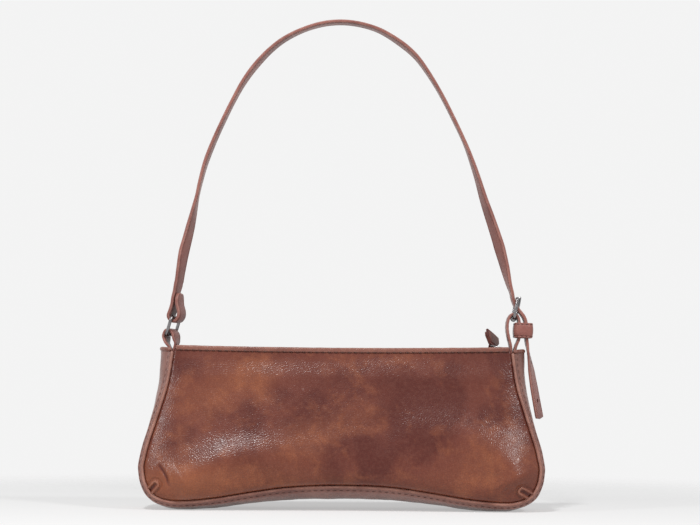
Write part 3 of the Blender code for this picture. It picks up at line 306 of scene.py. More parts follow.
def panel_face(side, crown, inset, top_drop):
    """A function from (s, v) to a point of the plain panel.

    s runs from the right seam to the left, and v from the top edge to the bottom seam."""
    sides = seam_line(0, CORNER_SHARE, FINE_POINTS, mirrored=False)
    bottom = seam_line(CORNER_SHARE, 1, FINE_POINTS)
    sides[:, :2] -= inset * sides[:, 4:6]
    bottom[:, :2] -= inset * bottom[:, 4:6]
    top_z = TOP_HEIGHT - top_drop
    side_line = sides[:, [0, 2, 1]] * (1, side, 1)
    bottom_line = bottom[:, [0, 2, 1]] * (1, side, 1)
    side_places = np.linspace(0, 1, len(side_line))
    bottom_places = np.linspace(0, 1, len(bottom_line))
    start = np.interp(-top_z, -side_line[:, 2], side_places)
    top_x = np.interp(start, side_places, side_line[:, 0])
    top_y = np.interp(start, side_places, side_line[:, 1])

    def side_point(v):
        at = start + (1 - start) * v
        return np.array([np.interp(at, side_places, column) for column in side_line.T])

    def bottom_point(s):
        return np.array([np.interp(s, bottom_places, column) for column in bottom_line.T])

    def top_point(s):
        u = 1 - 2 * s
        return np.array([top_x * u, top_y, top_z - TOP_SAG * (1 - u * u)])

    flip = np.array([-1, 1, 1])
    corner = side_point(1)

    def place(s, v):
        right = side_point(v)
        flat = (1 - v) * top_point(s) + v * bottom_point(s)
        flat += (1 - s) * right + s * right * flip
        flat -= (1 - v) * ((1 - s) * top_point(0) + s * top_point(1))
        flat -= v * ((1 - s) * corner + s * corner * flip)
        u = abs(2 * s - 1)
        swell = SWELL * (1 - u**6) ** 0.7 * v**1.8 * (1 - v**6) ** 0.7
        flat[1] += side * crown * swell
        return Vector(flat)

    return place


def reach_to(point, line):
    """Distance of (x, z) from a line of places, and the share of the line passed there."""
    best, share = 1.0, 0.0
    for index, (start, end) in enumerate(zip(line, line[1:])):
        start, end = Vector(start), Vector(end)
        run = end - start
        t = min(1.0, max(0.0, (point - start).dot(run) / run.length_squared))
        apart = (start + t * run - point).length
        if apart < best:
            best, share = apart, (index + t) / (len(line) - 1)
    return best, share


def in_metres(lines):
    return [[Vector((x, z)) * MM for x, z in line] for line in lines]


ridge_lines, dart_lines, crease_lines = in_metres(RIDGES), in_metres(DARTS), in_metres(CREASES)


def hump(apart, wide):
    """A smooth hump, 1 in its middle."""
    return math.exp(-((apart / wide) ** 2))


def relief(point, side):
    """How far the leather stands out at a point of a panel, beyond its plain form."""
    spot = Vector((point.x, point.z))
    seed = Vector((0.0, 7.0 * side, 0.0))
    high = SLACK_HEIGHT * noise.noise(point / SLACK_SIZE + seed)
    high += FINE_SLACK * noise.noise(point / FINE_SLACK_SIZE + seed)
    for line in ridge_lines:
        apart, share = reach_to(spot, line)
        fade = step_between(0.0, RIDGE_RISE_SHARE, share) * (1 - RIDGE_FALL * share)
        high += RIDGE_HEIGHT[side] * fade * hump(apart, RIDGE_SPREAD)
    if side > 0:
        return high
    for line, deep in zip(crease_lines, CREASE_SHARES):
        apart, share = reach_to(spot, line)
        fade = deep * math.sin(math.pi * (0.08 + 0.84 * share))
        high -= CREASE_DEEP * fade * hump(apart, CREASE_WIDE)
        high += CREASE_LIP * CREASE_DEEP * fade * hump(apart / CREASE_WIDE - CREASE_LIP_AT, 1.0)
    for line in dart_lines:
        apart, _ = reach_to(spot, line)
        high -= DART_DEEP * hump(apart, 0.5 * DART_LOOP)
        high -= DART_DEEP * hump(apart / DART_LOOP - DART_RIM, DART_RIM_WIDE)
    return high


def bent_sheet(name, cells, place, outward_from, warp=None):
    """A grid of cells bent into place(s, v), both 0 to 1, its faces away from a point.

    warp bends s and v first, to gather the cells where the form is fine. The flat places
    are kept as the map named cut."""
    bm = bmesh.new()
    bmesh.ops.create_grid(bm, x_segments=cells[0], y_segments=cells[1], size=0.5)
    cut = bm.loops.layers.uv.new("cut")
    flat = {}
    for vert in bm.verts:
        s, v = vert.co.x + 0.5, vert.co.y + 0.5
        flat[vert] = warp(s, v) if warp else (s, v)
        vert.co = place(*flat[vert])
    for face in bm.faces:
        for loop in face.loops:
            loop[cut].uv = flat[loop.vert]
    bmesh.ops.remove_doubles(bm, verts=bm.verts, dist=1e-6)
    bm.normal_update()
    facing = 0.0
    for face in bm.faces:
        middle = face.calc_center_median()
        facing += face.normal.dot(middle - outward_from(middle)) * face.calc_area()
    if facing < 0:
        bmesh.ops.reverse_faces(bm, faces=bm.faces)
    return finished(name, bm)


def thicken(made, wall, side):
    """A wall by Solidify, inside the surface where side is -1."""
    shell = made.modifiers.new("wall", "SOLIDIFY")
    shell.thickness = wall
    shell.offset = side


def mark(made, name, value):
    """A number at each point of the mesh, for its material to read."""
    layer = made.data.attributes.new(name, "FLOAT", "POINT")
    for vert, item in zip(made.data.vertices, layer.data):
        item.value = value(vert.co)


def put(made, body, material, slot, *nodes):
    """Gives a finished piece its material, its body and the nodes it stands for. slot is not used.
    """
    made.data.materials.clear()
    made.data.materials.append(material)
    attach(made, body)
    if nodes:
        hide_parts(*nodes)
    return made


class Paint(Tree):
    """A material round one principled shader, with the patterns that the finishes share."""

    def __init__(self, name):
        self.material = bpy.data.materials.new(name)
        super().__init__(self.material)
        self.shader = self.nodes["Principled BSDF"]
        self.place = self.nodes.new("ShaderNodeTexCoord").outputs["Object"]

    def finish(self, **inputs):
        """Gives the shader its inputs, and gives the material."""
        for key, value in inputs.items():
            self.join(value, self.shader.inputs[key.replace("_", " ")])
        return self.material

    def attribute(self, name):
        return self.add("ShaderNodeAttribute", result="Fac", settings={"attribute_name": name})

    def grain(self, size, detail=2.0, rough=0.55, warp=0.0):
        """Noise whose lumps are about that size, from about 0.3 to 0.7."""
        return self.add(
            "ShaderNodeTexNoise", result="Fac", Vector=self.place, Scale=1 / size,
            Detail=detail, Roughness=rough, Distortion=warp,
        )

    def mix(self, share, first, second):
        return self.add(
            "ShaderNodeMix", result="Result", settings={"data_type": "RGBA"}, Factor=share,
            A=first, B=second,
        )

    def bump(self, height, distance, **under):
        return self.add(
            "ShaderNodeBump", result="Normal", Distance=distance, Strength=1.0, Height=height,
            **under,
        )


def leather(name, dark, mid, warm, worn, pebble=PEBBLE_SIZE, gloss=0.25, shine=0.3):
    """Brown leather: cloudy dye with spots from the warm attribute, which also holds painted crease
    shade, pebbled grain with dark valleys, and paler worn edges.
    """
    paint = Paint(name)
    clouds = paint.remap(paint.grain(CLOUD_SIZE, 3.0, 0.6, 0.4), 0.38, 0.62)
    patches = paint.remap(paint.grain(PATCH_SIZE, 4.0, 0.65, 0.3), 0.42, 0.72)
    flecks = paint.remap(paint.grain(FLECK_SIZE, 3.0, 0.7), 0.35, 0.75)
    wobble = paint.add(
        "ShaderNodeTexNoise", result="Color", Vector=paint.place, Scale=1 / (2.4 * pebble),
        Detail=2.0,
    )
    moved = paint.add(
        "ShaderNodeVectorMath", wobble, (0.9 * pebble,) * 3, paint.place,
        settings={"operation": "MULTIPLY_ADD"},
    )
    cells = paint.add(
        "ShaderNodeTexVoronoi", result="Distance", settings={"feature": "DISTANCE_TO_EDGE"},
        Vector=moved, Scale=1 / pebble,
    )
    dome = paint.remap(cells, 0.0, 0.34)
    # warm: dye spots, and on the front panel painted shade along its crease and darts.
    spots = paint.attribute("warm")
    colour = paint.mix(paint.math("ADD", clouds, spots), dark, mid)
    # The painted crease shade also lowers the warm share here.
    warmth = paint.math("ADD", paint.math("MULTIPLY", patches, 0.5), spots)
    colour = paint.mix(warmth, colour, warm)
    colour = paint.mix(paint.math("MULTIPLY", flecks, 0.12), colour, worn)
    colour = paint.mix(paint.remap(dome, 0.0, 0.6, 0.25, 0.0), colour, dark)
    colour = paint.mix(paint.attribute("wear"), colour, worn)
    haze = paint.remap(paint.grain(HAZE_SIZE), 0.3, 0.7, gloss, gloss + HAZE)
    fine = paint.bump(paint.grain(FINE_SIZE, 3.0, 0.7), FINE_HEIGHT)
    return paint.finish(
        Base_Color=colour, Specular_IOR_Level=shine,
        Roughness=paint.math("ADD", paint.remap(dome, 0.0, 0.7, 0.08, 0.0), haze),
        Normal=paint.bump(dome, PEBBLE_HEIGHT, Normal=fine),
    )


WARM_SPOTS = [
    (-56, 88, 24, 14, 0.7), (-92, 74, 22, 12, 0.35), (-100, 18, 40, 14, 0.9),
    (-22, 46, 30, 16, 0.4), (60, 20, 60, 16, 0.2), (100, 34, 26, 22, 0.3),
    (20, 62, 26, 16, 0.3), (-30, 16, 40, 14, 0.25),
]
DARK_SPOTS = [
    (-32, 84, 30, 16, 0.5), (24, 38, 34, 15, 0.6), (60, 74, 40, 20, 0.45),
    (-118, 102, 22, 12, 0.4), (-64, 60, 22, 12, 0.25), (100, 98, 34, 14, 0.3),
]
# Painted shade: how far the dye darkens along the front panel's deep crease and its darts.
CREASE_PAINTED_SHADE = 1.0


def dye_and_crease_shade_at(point):
    """How warm the dye is at a point of a panel, from soft spots, with painted shade along the
    front panel's crease and darts.
    """
    total = 0.0
    for spots, sign in ((WARM_SPOTS, 1), (DARK_SPOTS, -1)):
        for x, z, wide, high, share in spots:
            apart = ((point.x / MM - x) / wide) ** 2 + ((point.z / MM - z) / high) ** 2
            total += sign * share * math.exp(-apart)
    # Painted shade along the front panel's first crease and both darts.
    if point.y < 0:
        for line in crease_lines[:1] + dart_lines:
            apart, share = reach_to(Vector((point.x, point.z)), line)
            fade = math.sin(math.pi * (0.15 + 0.7 * share))
            total -= CREASE_PAINTED_SHADE * fade * math.exp(-((apart / CREASE_WIDE) ** 2))
    return total


def gathered(s, v):
    """Closer cells towards the side seams and the bottom seam."""
    u = 2 * s - 1
    if abs(u) < 1:
        u += SIDE_GATHER * (u - u**3)
    return (u + 1) / 2, 1 - (1 - v) ** BOTTOM_GATHER


def panel_place(side, label):
    plain = panel_face(side, CROWN[label], 0.0, BINDING_HEIGHT - BINDING_LAP)

    def place(s, v):
        point = plain(s, v)
        edge = min(min(s, 1 - s) * 2 * SEAM_HALF_WIDTH, (1 - v) * TOP_HEIGHT)
        soft = step_between(0, PUCKER_REACH, edge)
        near = (1 - soft) * step_between(0, PUCKER_RISE, edge)
        pucker = PUCKER_HEIGHT * near * noise.noise(point / PUCKER_SIZE)
        form = relief(point, side)
        out = step_between(0.0, TOP_FADE, v) * (soft * form + pucker)
        if side < 0:
            out += (1 - soft) * step_between(0, RELIEF_RISE, edge) * form
        tuck = (1 - min(1.0, edge / TUCK_REACH)) ** 2
        roll = 1 - (1 - min(1.0, edge / ROLL_REACH)) ** 2
        out += ROLL_HEIGHT * roll * step_between(0.0, ROLL_FADE, v)
        point.y += side * (out - TUCK_DEPTH * tuck)
        return point

    return place


def middle_of_bag(point):
    return Vector((point.x, 0.0, point.z))


panel_leather = leather(
    "panel_leather", LEATHER_DARK, LEATHER_MID, LEATHER_WARM, LEATHER_WORN, gloss=PANEL_GLOSS
)
for side, label in SIDES:
    panel = bent_sheet(
        f"{label}_panel_leather", PANEL_CELLS, panel_place(side, label), middle_of_bag, gathered
    )
    # warm holds the dye spots and the painted shade along the crease and darts.
    mark(panel, "warm", dye_and_crease_shade_at)
    thicken(panel, PANEL_WALL, -1)
    put(panel, "bag_body", panel_leather, "body_leather", f"{label}_panel")

# Dart folds: the pinched leather that stands up round the stitched dart in each lower
# corner of the front panel. Each is a small roll bent into a U and sunk by half.

DART_FOLD, DART_STATIONS, DART_SIDES = 1.0 * MM, 40, 12
DART_TURNS = (45 * DEG, 90 * DEG, 135 * DEG)


def round_ring(sides, worn=0.0):
    """The places round a circle of radius 1, each with the wear of its outer side."""
    angles = np.linspace(0, 2 * math.pi, sides, endpoint=False)
    return [(math.cos(a), math.sin(a), worn * max(0.0, math.sin(a)) ** 3) for a in angles]


def swept(name, stations, ring, closed=False):
    """A closed ring of places carried along stations, as one skin with closed ends.

    A station is a centre and the two vectors that the ring's two numbers are shares of.
    The ring's third number is kept as the wear there."""
    count = len(stations)
    bm = bmesh.new()
    cells = (count if closed else count - 1, len(ring))
    bmesh.ops.create_grid(bm, x_segments=cells[0], y_segments=cells[1], size=0.5)
    wear = bm.verts.layers.float.new("wear")
    cut = bm.loops.layers.uv.new("cut")
    flat = {}
    for vert in bm.verts:
        flat[vert] = (vert.co.x + 0.5, vert.co.y + 0.5)
        centre, across, out = stations[round(flat[vert][0] * cells[0]) % count]
        share_across, share_out, worn = ring[round(flat[vert][1] * cells[1]) % len(ring)]
        vert.co = centre + share_across * across + share_out * out
        vert[wear] = worn * (1 + noise.noise(vert.co / (6 * MM)))
    for face in bm.faces:
        for loop in face.loops:
            loop[cut].uv = flat[loop.vert]
    bmesh.ops.remove_doubles(bm, verts=bm.verts, dist=1e-7)
    bmesh.ops.holes_fill(bm, edges=bm.edges, sides=0)
    bmesh.ops.recalc_face_normals(bm, faces=bm.faces)
    return finished(name, bm)


def tapered(stations, reach):
    """The stations with both ends drawn in round, over a reach along the line."""
    made = []
    total = sum((b[0] - a[0]).length for a, b in zip(stations, stations[1:]))
    passed, before = 0.0, stations[0][0]
    for centre, across, out in stations:
        passed += (centre - before).length
        before = centre
        near = min(1.0, min(passed, total - passed) / reach)
        share = max(0.02, math.sqrt(1 - (1 - near) ** 2))
        made.append((centre, across * share, out * share))
    return made


def ways_along(points):
    """The unit way along a line at each of its points."""
    last = len(points) - 1
    return [
        (points[min(index + 1, last)] - points[max(index - 1, 0)]).normalized()
        for index in range(len(points))
    ]


panel_verts = bpy.data.objects["front_panel_leather"].data.vertices
panel_spots = np.array([(vert.co.x, vert.co.z) for vert in panel_verts])
for label, (seam_spot, blind_spot) in zip(("left", "right"), dart_lines):
    run = (blind_spot - seam_spot).normalized()
    aside = DART_LOOP * Vector((-run.y, run.x))
    loop = [tuple(seam_spot + aside), tuple(blind_spot + aside)]
    for angle in DART_TURNS:
        loop.append(tuple(blind_spot + math.cos(angle) * aside + math.sin(angle) * DART_LOOP * run))
    loop += [tuple(blind_spot - aside), tuple(seam_spot - aside)]
    points, outs = [], []
    for spot in smooth_line(loop, DART_STATIONS):
        vert = panel_verts[int(np.argmin(np.linalg.norm(panel_spots - spot, axis=1)))]
        points.append(Vector((float(spot[0]), vert.co.y, float(spot[1]))))
        outs.append(DART_FOLD * vert.normal)
    stations = [
        (point, DART_FOLD * way.cross(out).normalized(), out)
        for point, way, out in zip(points, ways_along(points), outs)
    ]
    dart = swept(f"dart_fold_{label}", tapered(stations, 0.8 * MM), round_ring(DART_SIDES, 0.5))
    # warm holds the dye spots and the painted shade along the crease and darts.
    mark(dart, "warm", dye_and_crease_shade_at)
    put(dart, "bag_body", panel_leather, "body_leather")

# Welts: the turned edge of each panel, rolled round a cord and sewn down, so that it
# stands as a ridge outside the seam. The roll is a little uneven between its stitches.

WELT_RADIUS, WELT_OUT, WELT_BACK = 1.25 * MM, 1.2 * MM, 0.3 * MM
WELT_TOP_SHARE = 0.018
WELT_STATIONS, ROUND_SIDES = 420, 16
WELT_UNEVEN = 0.1
STITCH_PITCH, EDGE_PEBBLE = 4.3 * MM, 0.9 * MM

EDGE_DARK = (0.150, 0.050, 0.038)
EDGE_MID = (0.225, 0.090, 0.066)
EDGE_WARM = (0.300, 0.125, 0.085)
EDGE_WORN = (0.460, 0.250, 0.195)

edge_leather = leather(
    "edge_leather", EDGE_DARK, EDGE_MID, EDGE_WARM, EDGE_WORN, EDGE_PEBBLE
)
seam_rows = seam_line(WELT_TOP_SHARE, 1, WELT_STATIONS).tolist()
for side, label in SIDES:
    stations = []
    for x, z, half_depth, _, out_x, out_z in seam_rows:
        out = Vector((out_x, 0.0, out_z))
        centre = Vector((x, side * (half_depth - WELT_BACK), z)) + WELT_OUT * out
        uneven = 1 + WELT_UNEVEN * noise.noise(centre / STITCH_PITCH)
        aside = Vector((0.0, side * WELT_RADIUS, 0.0))
        stations.append((centre, WELT_RADIUS * uneven * out, aside))
    welt = swept(f"{label}_welt_roll", tapered(stations, 2 * MM), round_ring(ROUND_SIDES, 0.35))
    put(welt, "bag_body", edge_leather, "edge_leather", f"{label}_welt")

# Gusset: one long strip of leather down a side, along the bottom and up the other side.
# A narrow flange along each edge is sewn behind the welt, and the rest bulges outward.

GUSSET_WALL = 1.6 * MM
GUSSET_EDGE_OUT, GUSSET_EDGE_BACK = 1.0 * MM, 1.9 * MM
FLANGE_OUT, FLANGE_WIDTH = 3.3 * MM, 1.6 * MM
GUSSET_TOP_SHARE = 0.0178
GUSSET_CELLS = (520, 44)
GUSSET_RIPPLE, RIPPLE_SIZE, RIPPLE_REACH = 0.35 * MM, 9 * MM, 6 * MM
GUSSET_PEBBLE = 1.1 * MM
THREAD_THICK, THREAD_LENGTH = 0.5 * MM, 2.6 * MM
SEAM_STITCH_IN = 0.85 * MM
STRAND_SIZE, STRAND_HEIGHT = 0.5 * MM, 0.08 * MM
THREAD_DARK, THREAD_LIGHT = (0.055, 0.018, 0.013), (0.120, 0.045, 0.030)

# Painted sheen: the gusset's browns are paler and greyer than the panels', with a reflection of the
# pale backdrop painted into them.
GUSSET_DARK_WITH_SHEEN = (0.190, 0.085, 0.070)
GUSSET_MID_WITH_SHEEN = (0.265, 0.135, 0.115)
GUSSET_WARM_WITH_SHEEN = (0.330, 0.165, 0.130)


def gusset_out(row, from_edge, reach):
    """How far the gusset stands beyond the seam, at a distance across it from its edge."""
    bulge = max(row[3], GUSSET_EDGE_OUT + FLANGE_OUT)
    rise = step_between(-0.6 * FLANGE_WIDTH, FLANGE_WIDTH, from_edge)
    flange = GUSSET_EDGE_OUT + FLANGE_OUT * rise
    foot = 0.4 * FLANGE_WIDTH
    lean = 1 - min(1.0, max(0.0, (from_edge - foot) / (reach - foot)))
    return flange + (bulge - GUSSET_EDGE_OUT - FLANGE_OUT) * (1 - lean**2.2)


def gusset_place(top_share, drop, back):
    rows = seam_line(top_share, 1, FINE_POINTS)
    places = np.linspace(0, 1, len(rows))

    def place(s, v):
        row = [float(np.interp(s, places, column)) for column in rows.T]
        half = row[2] - GUSSET_EDGE_BACK - back
        lean = math.sin((v - 0.5) * math.pi)
        from_edge = (1 - abs(lean)) * half
        normal = Vector((row[4], 0.0, row[5]))
        out = gusset_out(row, from_edge, half) - drop
        point = Vector((row[0], lean * half, row[1])) + out * normal
        if not drop:
            fade = step_between(0, RIPPLE_REACH, from_edge)
            point += GUSSET_RIPPLE * noise.noise(point / RIPPLE_SIZE) * fade * normal
        point.z = max(point.z, drop)
        return point

    return place


def inside_of_bag(point):
    return Vector((point.x / 2, 0.0, TOP_HEIGHT / 2))


def stitching(
    name, line, outs, pitch=STITCH_PITCH, length=THREAD_LENGTH, thick=THREAD_THICK, slant=0.0
):
    """A row of short threads laid along a line, sunk by half into the leather.

    outs are the ways out of the leather along the line."""
    points = np.array([tuple(point) for point in line])
    outs = np.array([tuple(out) for out in outs])
    reach = np.concatenate([[0], np.cumsum(np.linalg.norm(np.diff(points, axis=0), axis=1))])
    count = max(1, int(reach[-1] / pitch))
    bm = bmesh.new()
    bmesh.ops.create_uvsphere(
        bm, u_segments=8, v_segments=6, radius=0.5, matrix=Matrix.Rotation(math.pi / 2, 4, "Y")
    )
    thread = bpy.data.meshes.new("thread")
    bm.to_mesh(thread)
    bm.clear()
    for index in range(count):
        at = (index + 0.5) * reach[-1] / count
        low, middle, high = (
            Vector([np.interp(at + step, reach, column) for column in points.T])
            for step in (-length / 2, 0.0, length / 2)
        )
        out = Vector([np.interp(at, reach, column) for column in outs.T]).normalized()
        way = (high - low).normalized()
        way = Matrix.Rotation(slant, 3, out) @ way
        side_way = out.cross(way).normalized()
        out = way.cross(side_way)
        basis = Matrix((way * length, side_way * thick, out * thick)).transposed().to_4x4()
        laid = thread.copy()
        laid.transform(Matrix.Translation(middle) @ basis)
        bm.from_mesh(laid)
        bpy.data.meshes.remove(laid)
    bpy.data.meshes.remove(thread)
    return finished(name, bm)


def thread_material(name, dark, light):
    """Waxed thread, twisted from strands that catch the light in turn."""
    paint = Paint(name)
    strands = paint.remap(paint.grain(STRAND_SIZE, 2.0, 0.6), 0.35, 0.65)
    return paint.finish(
        Base_Color=paint.mix(strands, dark, light), Roughness=0.55,
        Normal=paint.bump(strands, STRAND_HEIGHT),
    )


brown_thread = thread_material("brown_thread", THREAD_DARK, THREAD_LIGHT)
# The gusset leather's colours carry a painted sheen of the pale backdrop over its brown.
gusset_leather = leather(
    "gusset_leather", GUSSET_DARK_WITH_SHEEN, GUSSET_MID_WITH_SHEEN, GUSSET_WARM_WITH_SHEEN, EDGE_WORN, GUSSET_PEBBLE
)
gusset = bent_sheet(
    "gusset_leather_strip", GUSSET_CELLS, gusset_place(GUSSET_TOP_SHARE, 0.0, 0.0), inside_of_bag
)
thicken(gusset, GUSSET_WALL, -1)
put(gusset, "bag_body", gusset_leather, "gusset_leather", "gusset")

for side, label in SIDES:
    line, outs = [], []
    for row in seam_line(GUSSET_TOP_SHARE + 0.01, 1, FINE_POINTS).tolist():
        half = row[2] - GUSSET_EDGE_BACK
        normal = Vector((row[4], 0.0, row[5]))
        place = Vector((row[0], side * (half - SEAM_STITCH_IN), row[1]))
        line.append(place + gusset_out(row, SEAM_STITCH_IN, half) * normal)
        outs.append(0.6 * normal + Vector((0.0, side, 0.0)))
    put(stitching(f"{label}_seam_stitches", line, outs), "bag_body", brown_thread, "edge_leather")

# Gusset rims: the gusset's two top edges, turned over and stitched down.

RIM_RADIUS, RIM_GAP = 1.5 * MM, -1.0 * MM
RIM_END_SHARE = 0.06
RIM_STATIONS = 40

rim_place = gusset_place(GUSSET_TOP_SHARE, GUSSET_WALL / 2, 0.0)
upward = Vector((0.0, 0.0, 1.0))
for end, label in ((0.0, "right"), (1.0, "left")):
    shares = np.linspace(RIM_END_SHARE, 1 - RIM_END_SHARE, RIM_STATIONS)
    spots = [rim_place(end, v) for v in shares]
    stations = [
        (spot + (RIM_RADIUS + RIM_GAP) * upward, RIM_RADIUS * way.cross(upward).normalized(),
         RIM_RADIUS * upward)
        for spot, way in zip(spots, ways_along(spots))
    ]
    rim_ring = round_ring(ROUND_SIDES, 0.3)
    rim = swept(f"gusset_rim_roll_{label}", tapered(stations, 1.5 * MM), rim_ring)
    put(rim, "bag_body", edge_leather, "edge_leather", f"gusset_rim_{label}")

# Linings: brown cotton twill behind both panels and inside the gusset, with a leather
# faced patch as the floor of the small well at each end of the zip.

LINING_WALL, LINING_GAP = 0.7 * MM, 0.8 * MM
LINING_INSET = PANEL_WALL + LINING_GAP
LINING_TOP_DROP = 6.7 * MM
LINING_CELLS, LINING_BACK = (96, 40), 0.8 * MM
LINING_GUSSET_DROP, LINING_GUSSET_BACK = 3.0 * MM, 1.2 * MM
LINING_GUSSET_TOP_SHARE = 0.062
LINING_GUSSET_CELLS = (240, 16)
TWILL_PITCH, FUZZ_SIZE = 0.9 * MM, 0.3 * MM
RIB_HEIGHT, FUZZ_HEIGHT = 0.15 * MM, 0.1 * MM
LINING_DARK, LINING_LIGHT = (0.060, 0.038, 0.028), (0.125, 0.088, 0.066)
PATCH_WALL = 1.4 * MM
PATCH_CELLS, PATCH_BOW = (24, 32), 0.12


def cloth_material(name, dark, light, pitch, slope):
    """Woven cloth: fine ribs of yarn that run on a slope, with a little fuzz."""
    paint = Paint(name)
    turned = paint.add("ShaderNodeMapping", Vector=paint.place, Rotation=(slope,) * 3)
    ribs, cross = (
        paint.add(
            "ShaderNodeTexWave", result="Fac", settings={"bands_direction": axis}, Vector=turned,
            Scale=0.314 / pitch, Distortion=0.6, Detail=2.0, Detail_Scale=2.0,
        )
        for axis in "XZ"
    )
    weave = paint.math("MULTIPLY", ribs, cross)
    fuzz = paint.bump(paint.grain(FUZZ_SIZE, 2.0, 0.6), FUZZ_HEIGHT)
    return paint.finish(
        Base_Color=paint.mix(weave, dark, light), Roughness=0.9, Sheen_Weight=0.2,
        Normal=paint.bump(weave, RIB_HEIGHT, Normal=fuzz),
    )


twill = cloth_material("lining_twill", LINING_DARK, LINING_LIGHT, TWILL_PITCH, 45 * DEG)
for side, label in SIDES:
    lining = bent_sheet(
        f"lining_{label}_cloth", LINING_CELLS,
        panel_face(side, CROWN[label], LINING_INSET, LINING_TOP_DROP), middle_of_bag,
    )
    for vert in lining.data.vertices:
        vert.co.y -= side * LINING_BACK
    thicken(lining, LINING_WALL, -1)
    put(lining, "bag_body", twill, "lining_cloth", f"lining_{label}")
gusset_lining = bent_sheet(
    "lining_gusset_cloth", LINING_GUSSET_CELLS,
    gusset_place(LINING_GUSSET_TOP_SHARE, LINING_GUSSET_DROP, LINING_GUSSET_BACK), inside_of_bag,
)
thicken(gusset_lining, LINING_WALL, -1)
put(gusset_lining, "bag_body", twill, "lining_cloth", "lining_gusset")


def below(depth):
    """A function from a place to the place that depth under it."""
    return lambda point: point - Vector((0.0, 0.0, depth))


for label in ("left", "right"):
    low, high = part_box(f"end_patch_{label}")
    inner, outer = (high.x, low.x) if low.x < 0 else (low.x, high.x)

    def patch_place(s, v):
        bow = 1 - PATCH_BOW * (2 * v - 1) ** 2
        return Vector((inner + (outer - inner) * s * bow, low.y + (high.y - low.y) * v, high.z))

    patch = bent_sheet(f"end_patch_cloth_{label}", PATCH_CELLS, patch_place, below(PATCH_WALL))
    thicken(patch, PATCH_WALL, -1)
    put(patch, "bag_body", twill, "lining_cloth", f"end_patch_{label}")

# Top bindings: a strip of leather folded over the top edge of each panel, and stitched
# through just below its lower edge.

BINDING_DEPTH, BINDING_PROUD = 3.8 * MM, 1.2 * MM
BINDING_END_ROOM = 0.3 * MM
TOP_HALF_WIDTH, TOP_HALF_DEPTH = SEAM_ROWS[0][0], SEAM_ROWS[0][2]
BINDING_END = TOP_HALF_WIDTH - BINDING_END_ROOM
BINDING_STATIONS = 260
BINDING_SPOTS = [
    (0.55, -1.0), (0.86, -0.94), (0.99, -0.72), (1.0, -0.3), (0.985, 0.2), (0.93, 0.6),
    (0.78, 0.86), (0.5, 0.98), (0.0, 1.0),
]
BINDING_UNEVEN = 0.1 * MM
TOP_STITCH_RISE, TOP_STITCH_IN, TOP_STITCH_THICK = 0.35 * MM, 0.15 * MM, 0.8 * MM
TOP_STITCH_SLANT = -8 * DEG


def top_height(x):
    return TOP_HEIGHT - TOP_SAG * (1 - (x / TOP_HALF_WIDTH) ** 2)


binding_spots = BINDING_SPOTS + [(-across, up) for across, up in BINDING_SPOTS[-2::-1]]
binding_ring = [(across, up, 0.3 * max(0.0, up) ** 2) for across, up in binding_spots]
for side, label in SIDES:
    stations, line = [], []
    face = side * (TOP_HALF_DEPTH + BINDING_PROUD)
    for x in np.linspace(-BINDING_END, BINDING_END, BINDING_STATIONS):
        y = face - side * BINDING_DEPTH / 2
        uneven = BINDING_UNEVEN * noise.noise(Vector((x, y, 0.0)) / STITCH_PITCH)
        centre = Vector((x, y, top_height(x) - BINDING_HEIGHT / 2 + uneven / 2))
        up = Vector((0.0, 0.0, BINDING_HEIGHT / 2 + uneven / 2))
        stations.append((centre, Vector((0.0, side * BINDING_DEPTH / 2, 0.0)), up))
        low_edge = top_height(x) - BINDING_HEIGHT + TOP_STITCH_RISE
        line.append(Vector((x, face - side * TOP_STITCH_IN, low_edge)))
    binding = swept(f"{label}_binding_fold", tapered(stations, 0.8 * MM), binding_ring)
    put(binding, "bag_body", edge_leather, "edge_leather", f"{label}_top_binding")
    outs = [Vector((0.0, side, 0.0))] * len(line)
    threads = stitching(
        f"{label}_top_stitches", line[2:-2], outs[2:-2], thick=TOP_STITCH_THICK,
        slant=TOP_STITCH_SLANT,
    )
    put(threads, "bag_body", brown_thread, "edge_leather")

# Facings: a strip of leather inside each top edge, which slopes down to carry the zip and
# is stitched to it along its lower edge.

FACING_WALL = 1.3 * MM
FACING_OUTER_Y, FACING_INNER_Y = 12.6 * MM, 7.6 * MM
FACING_OUTER_DROP = BINDING_HEIGHT + 1.6 * MM
ZIP_Z, TAPE_WALL = 104.3 * MM, 0.8 * MM
FACING_INNER_Z = ZIP_Z + TAPE_WALL / 2 + FACING_WALL
FACING_END = BINDING_END - 0.3 * MM
FACING_CELLS = (180, 8)
FACING_DIP, FACING_DIP_SIZE, FACING_EDGE = 0.25 * MM, 14 * MM, 0.35 * MM
FACING_STITCH_IN, STRAP_PEBBLE = 1.5 * MM, 0.8 * MM

STRAP_DARK = (0.175, 0.058, 0.050)
STRAP_MID = (0.275, 0.105, 0.088)
STRAP_WARM = (0.330, 0.130, 0.100)
STRAP_WORN = (0.500, 0.270, 0.220)

strap_leather = leather(
    "strap_leather", STRAP_DARK, STRAP_MID, STRAP_WARM, STRAP_WORN, STRAP_PEBBLE, shine=0.2
)


def facing_place(side):
    def place(s, v):
        x = (2 * s - 1) * FACING_END
        y = FACING_OUTER_Y + (FACING_INNER_Y - FACING_OUTER_Y) * v
        high = top_height(x) - FACING_OUTER_DROP
        dip = FACING_DIP * noise.noise(Vector((x, y, 0.0)) / FACING_DIP_SIZE)
        return Vector((x, side * y, high + (FACING_INNER_Z - high) * v + dip * v * (1 - v) * 4))

    return place


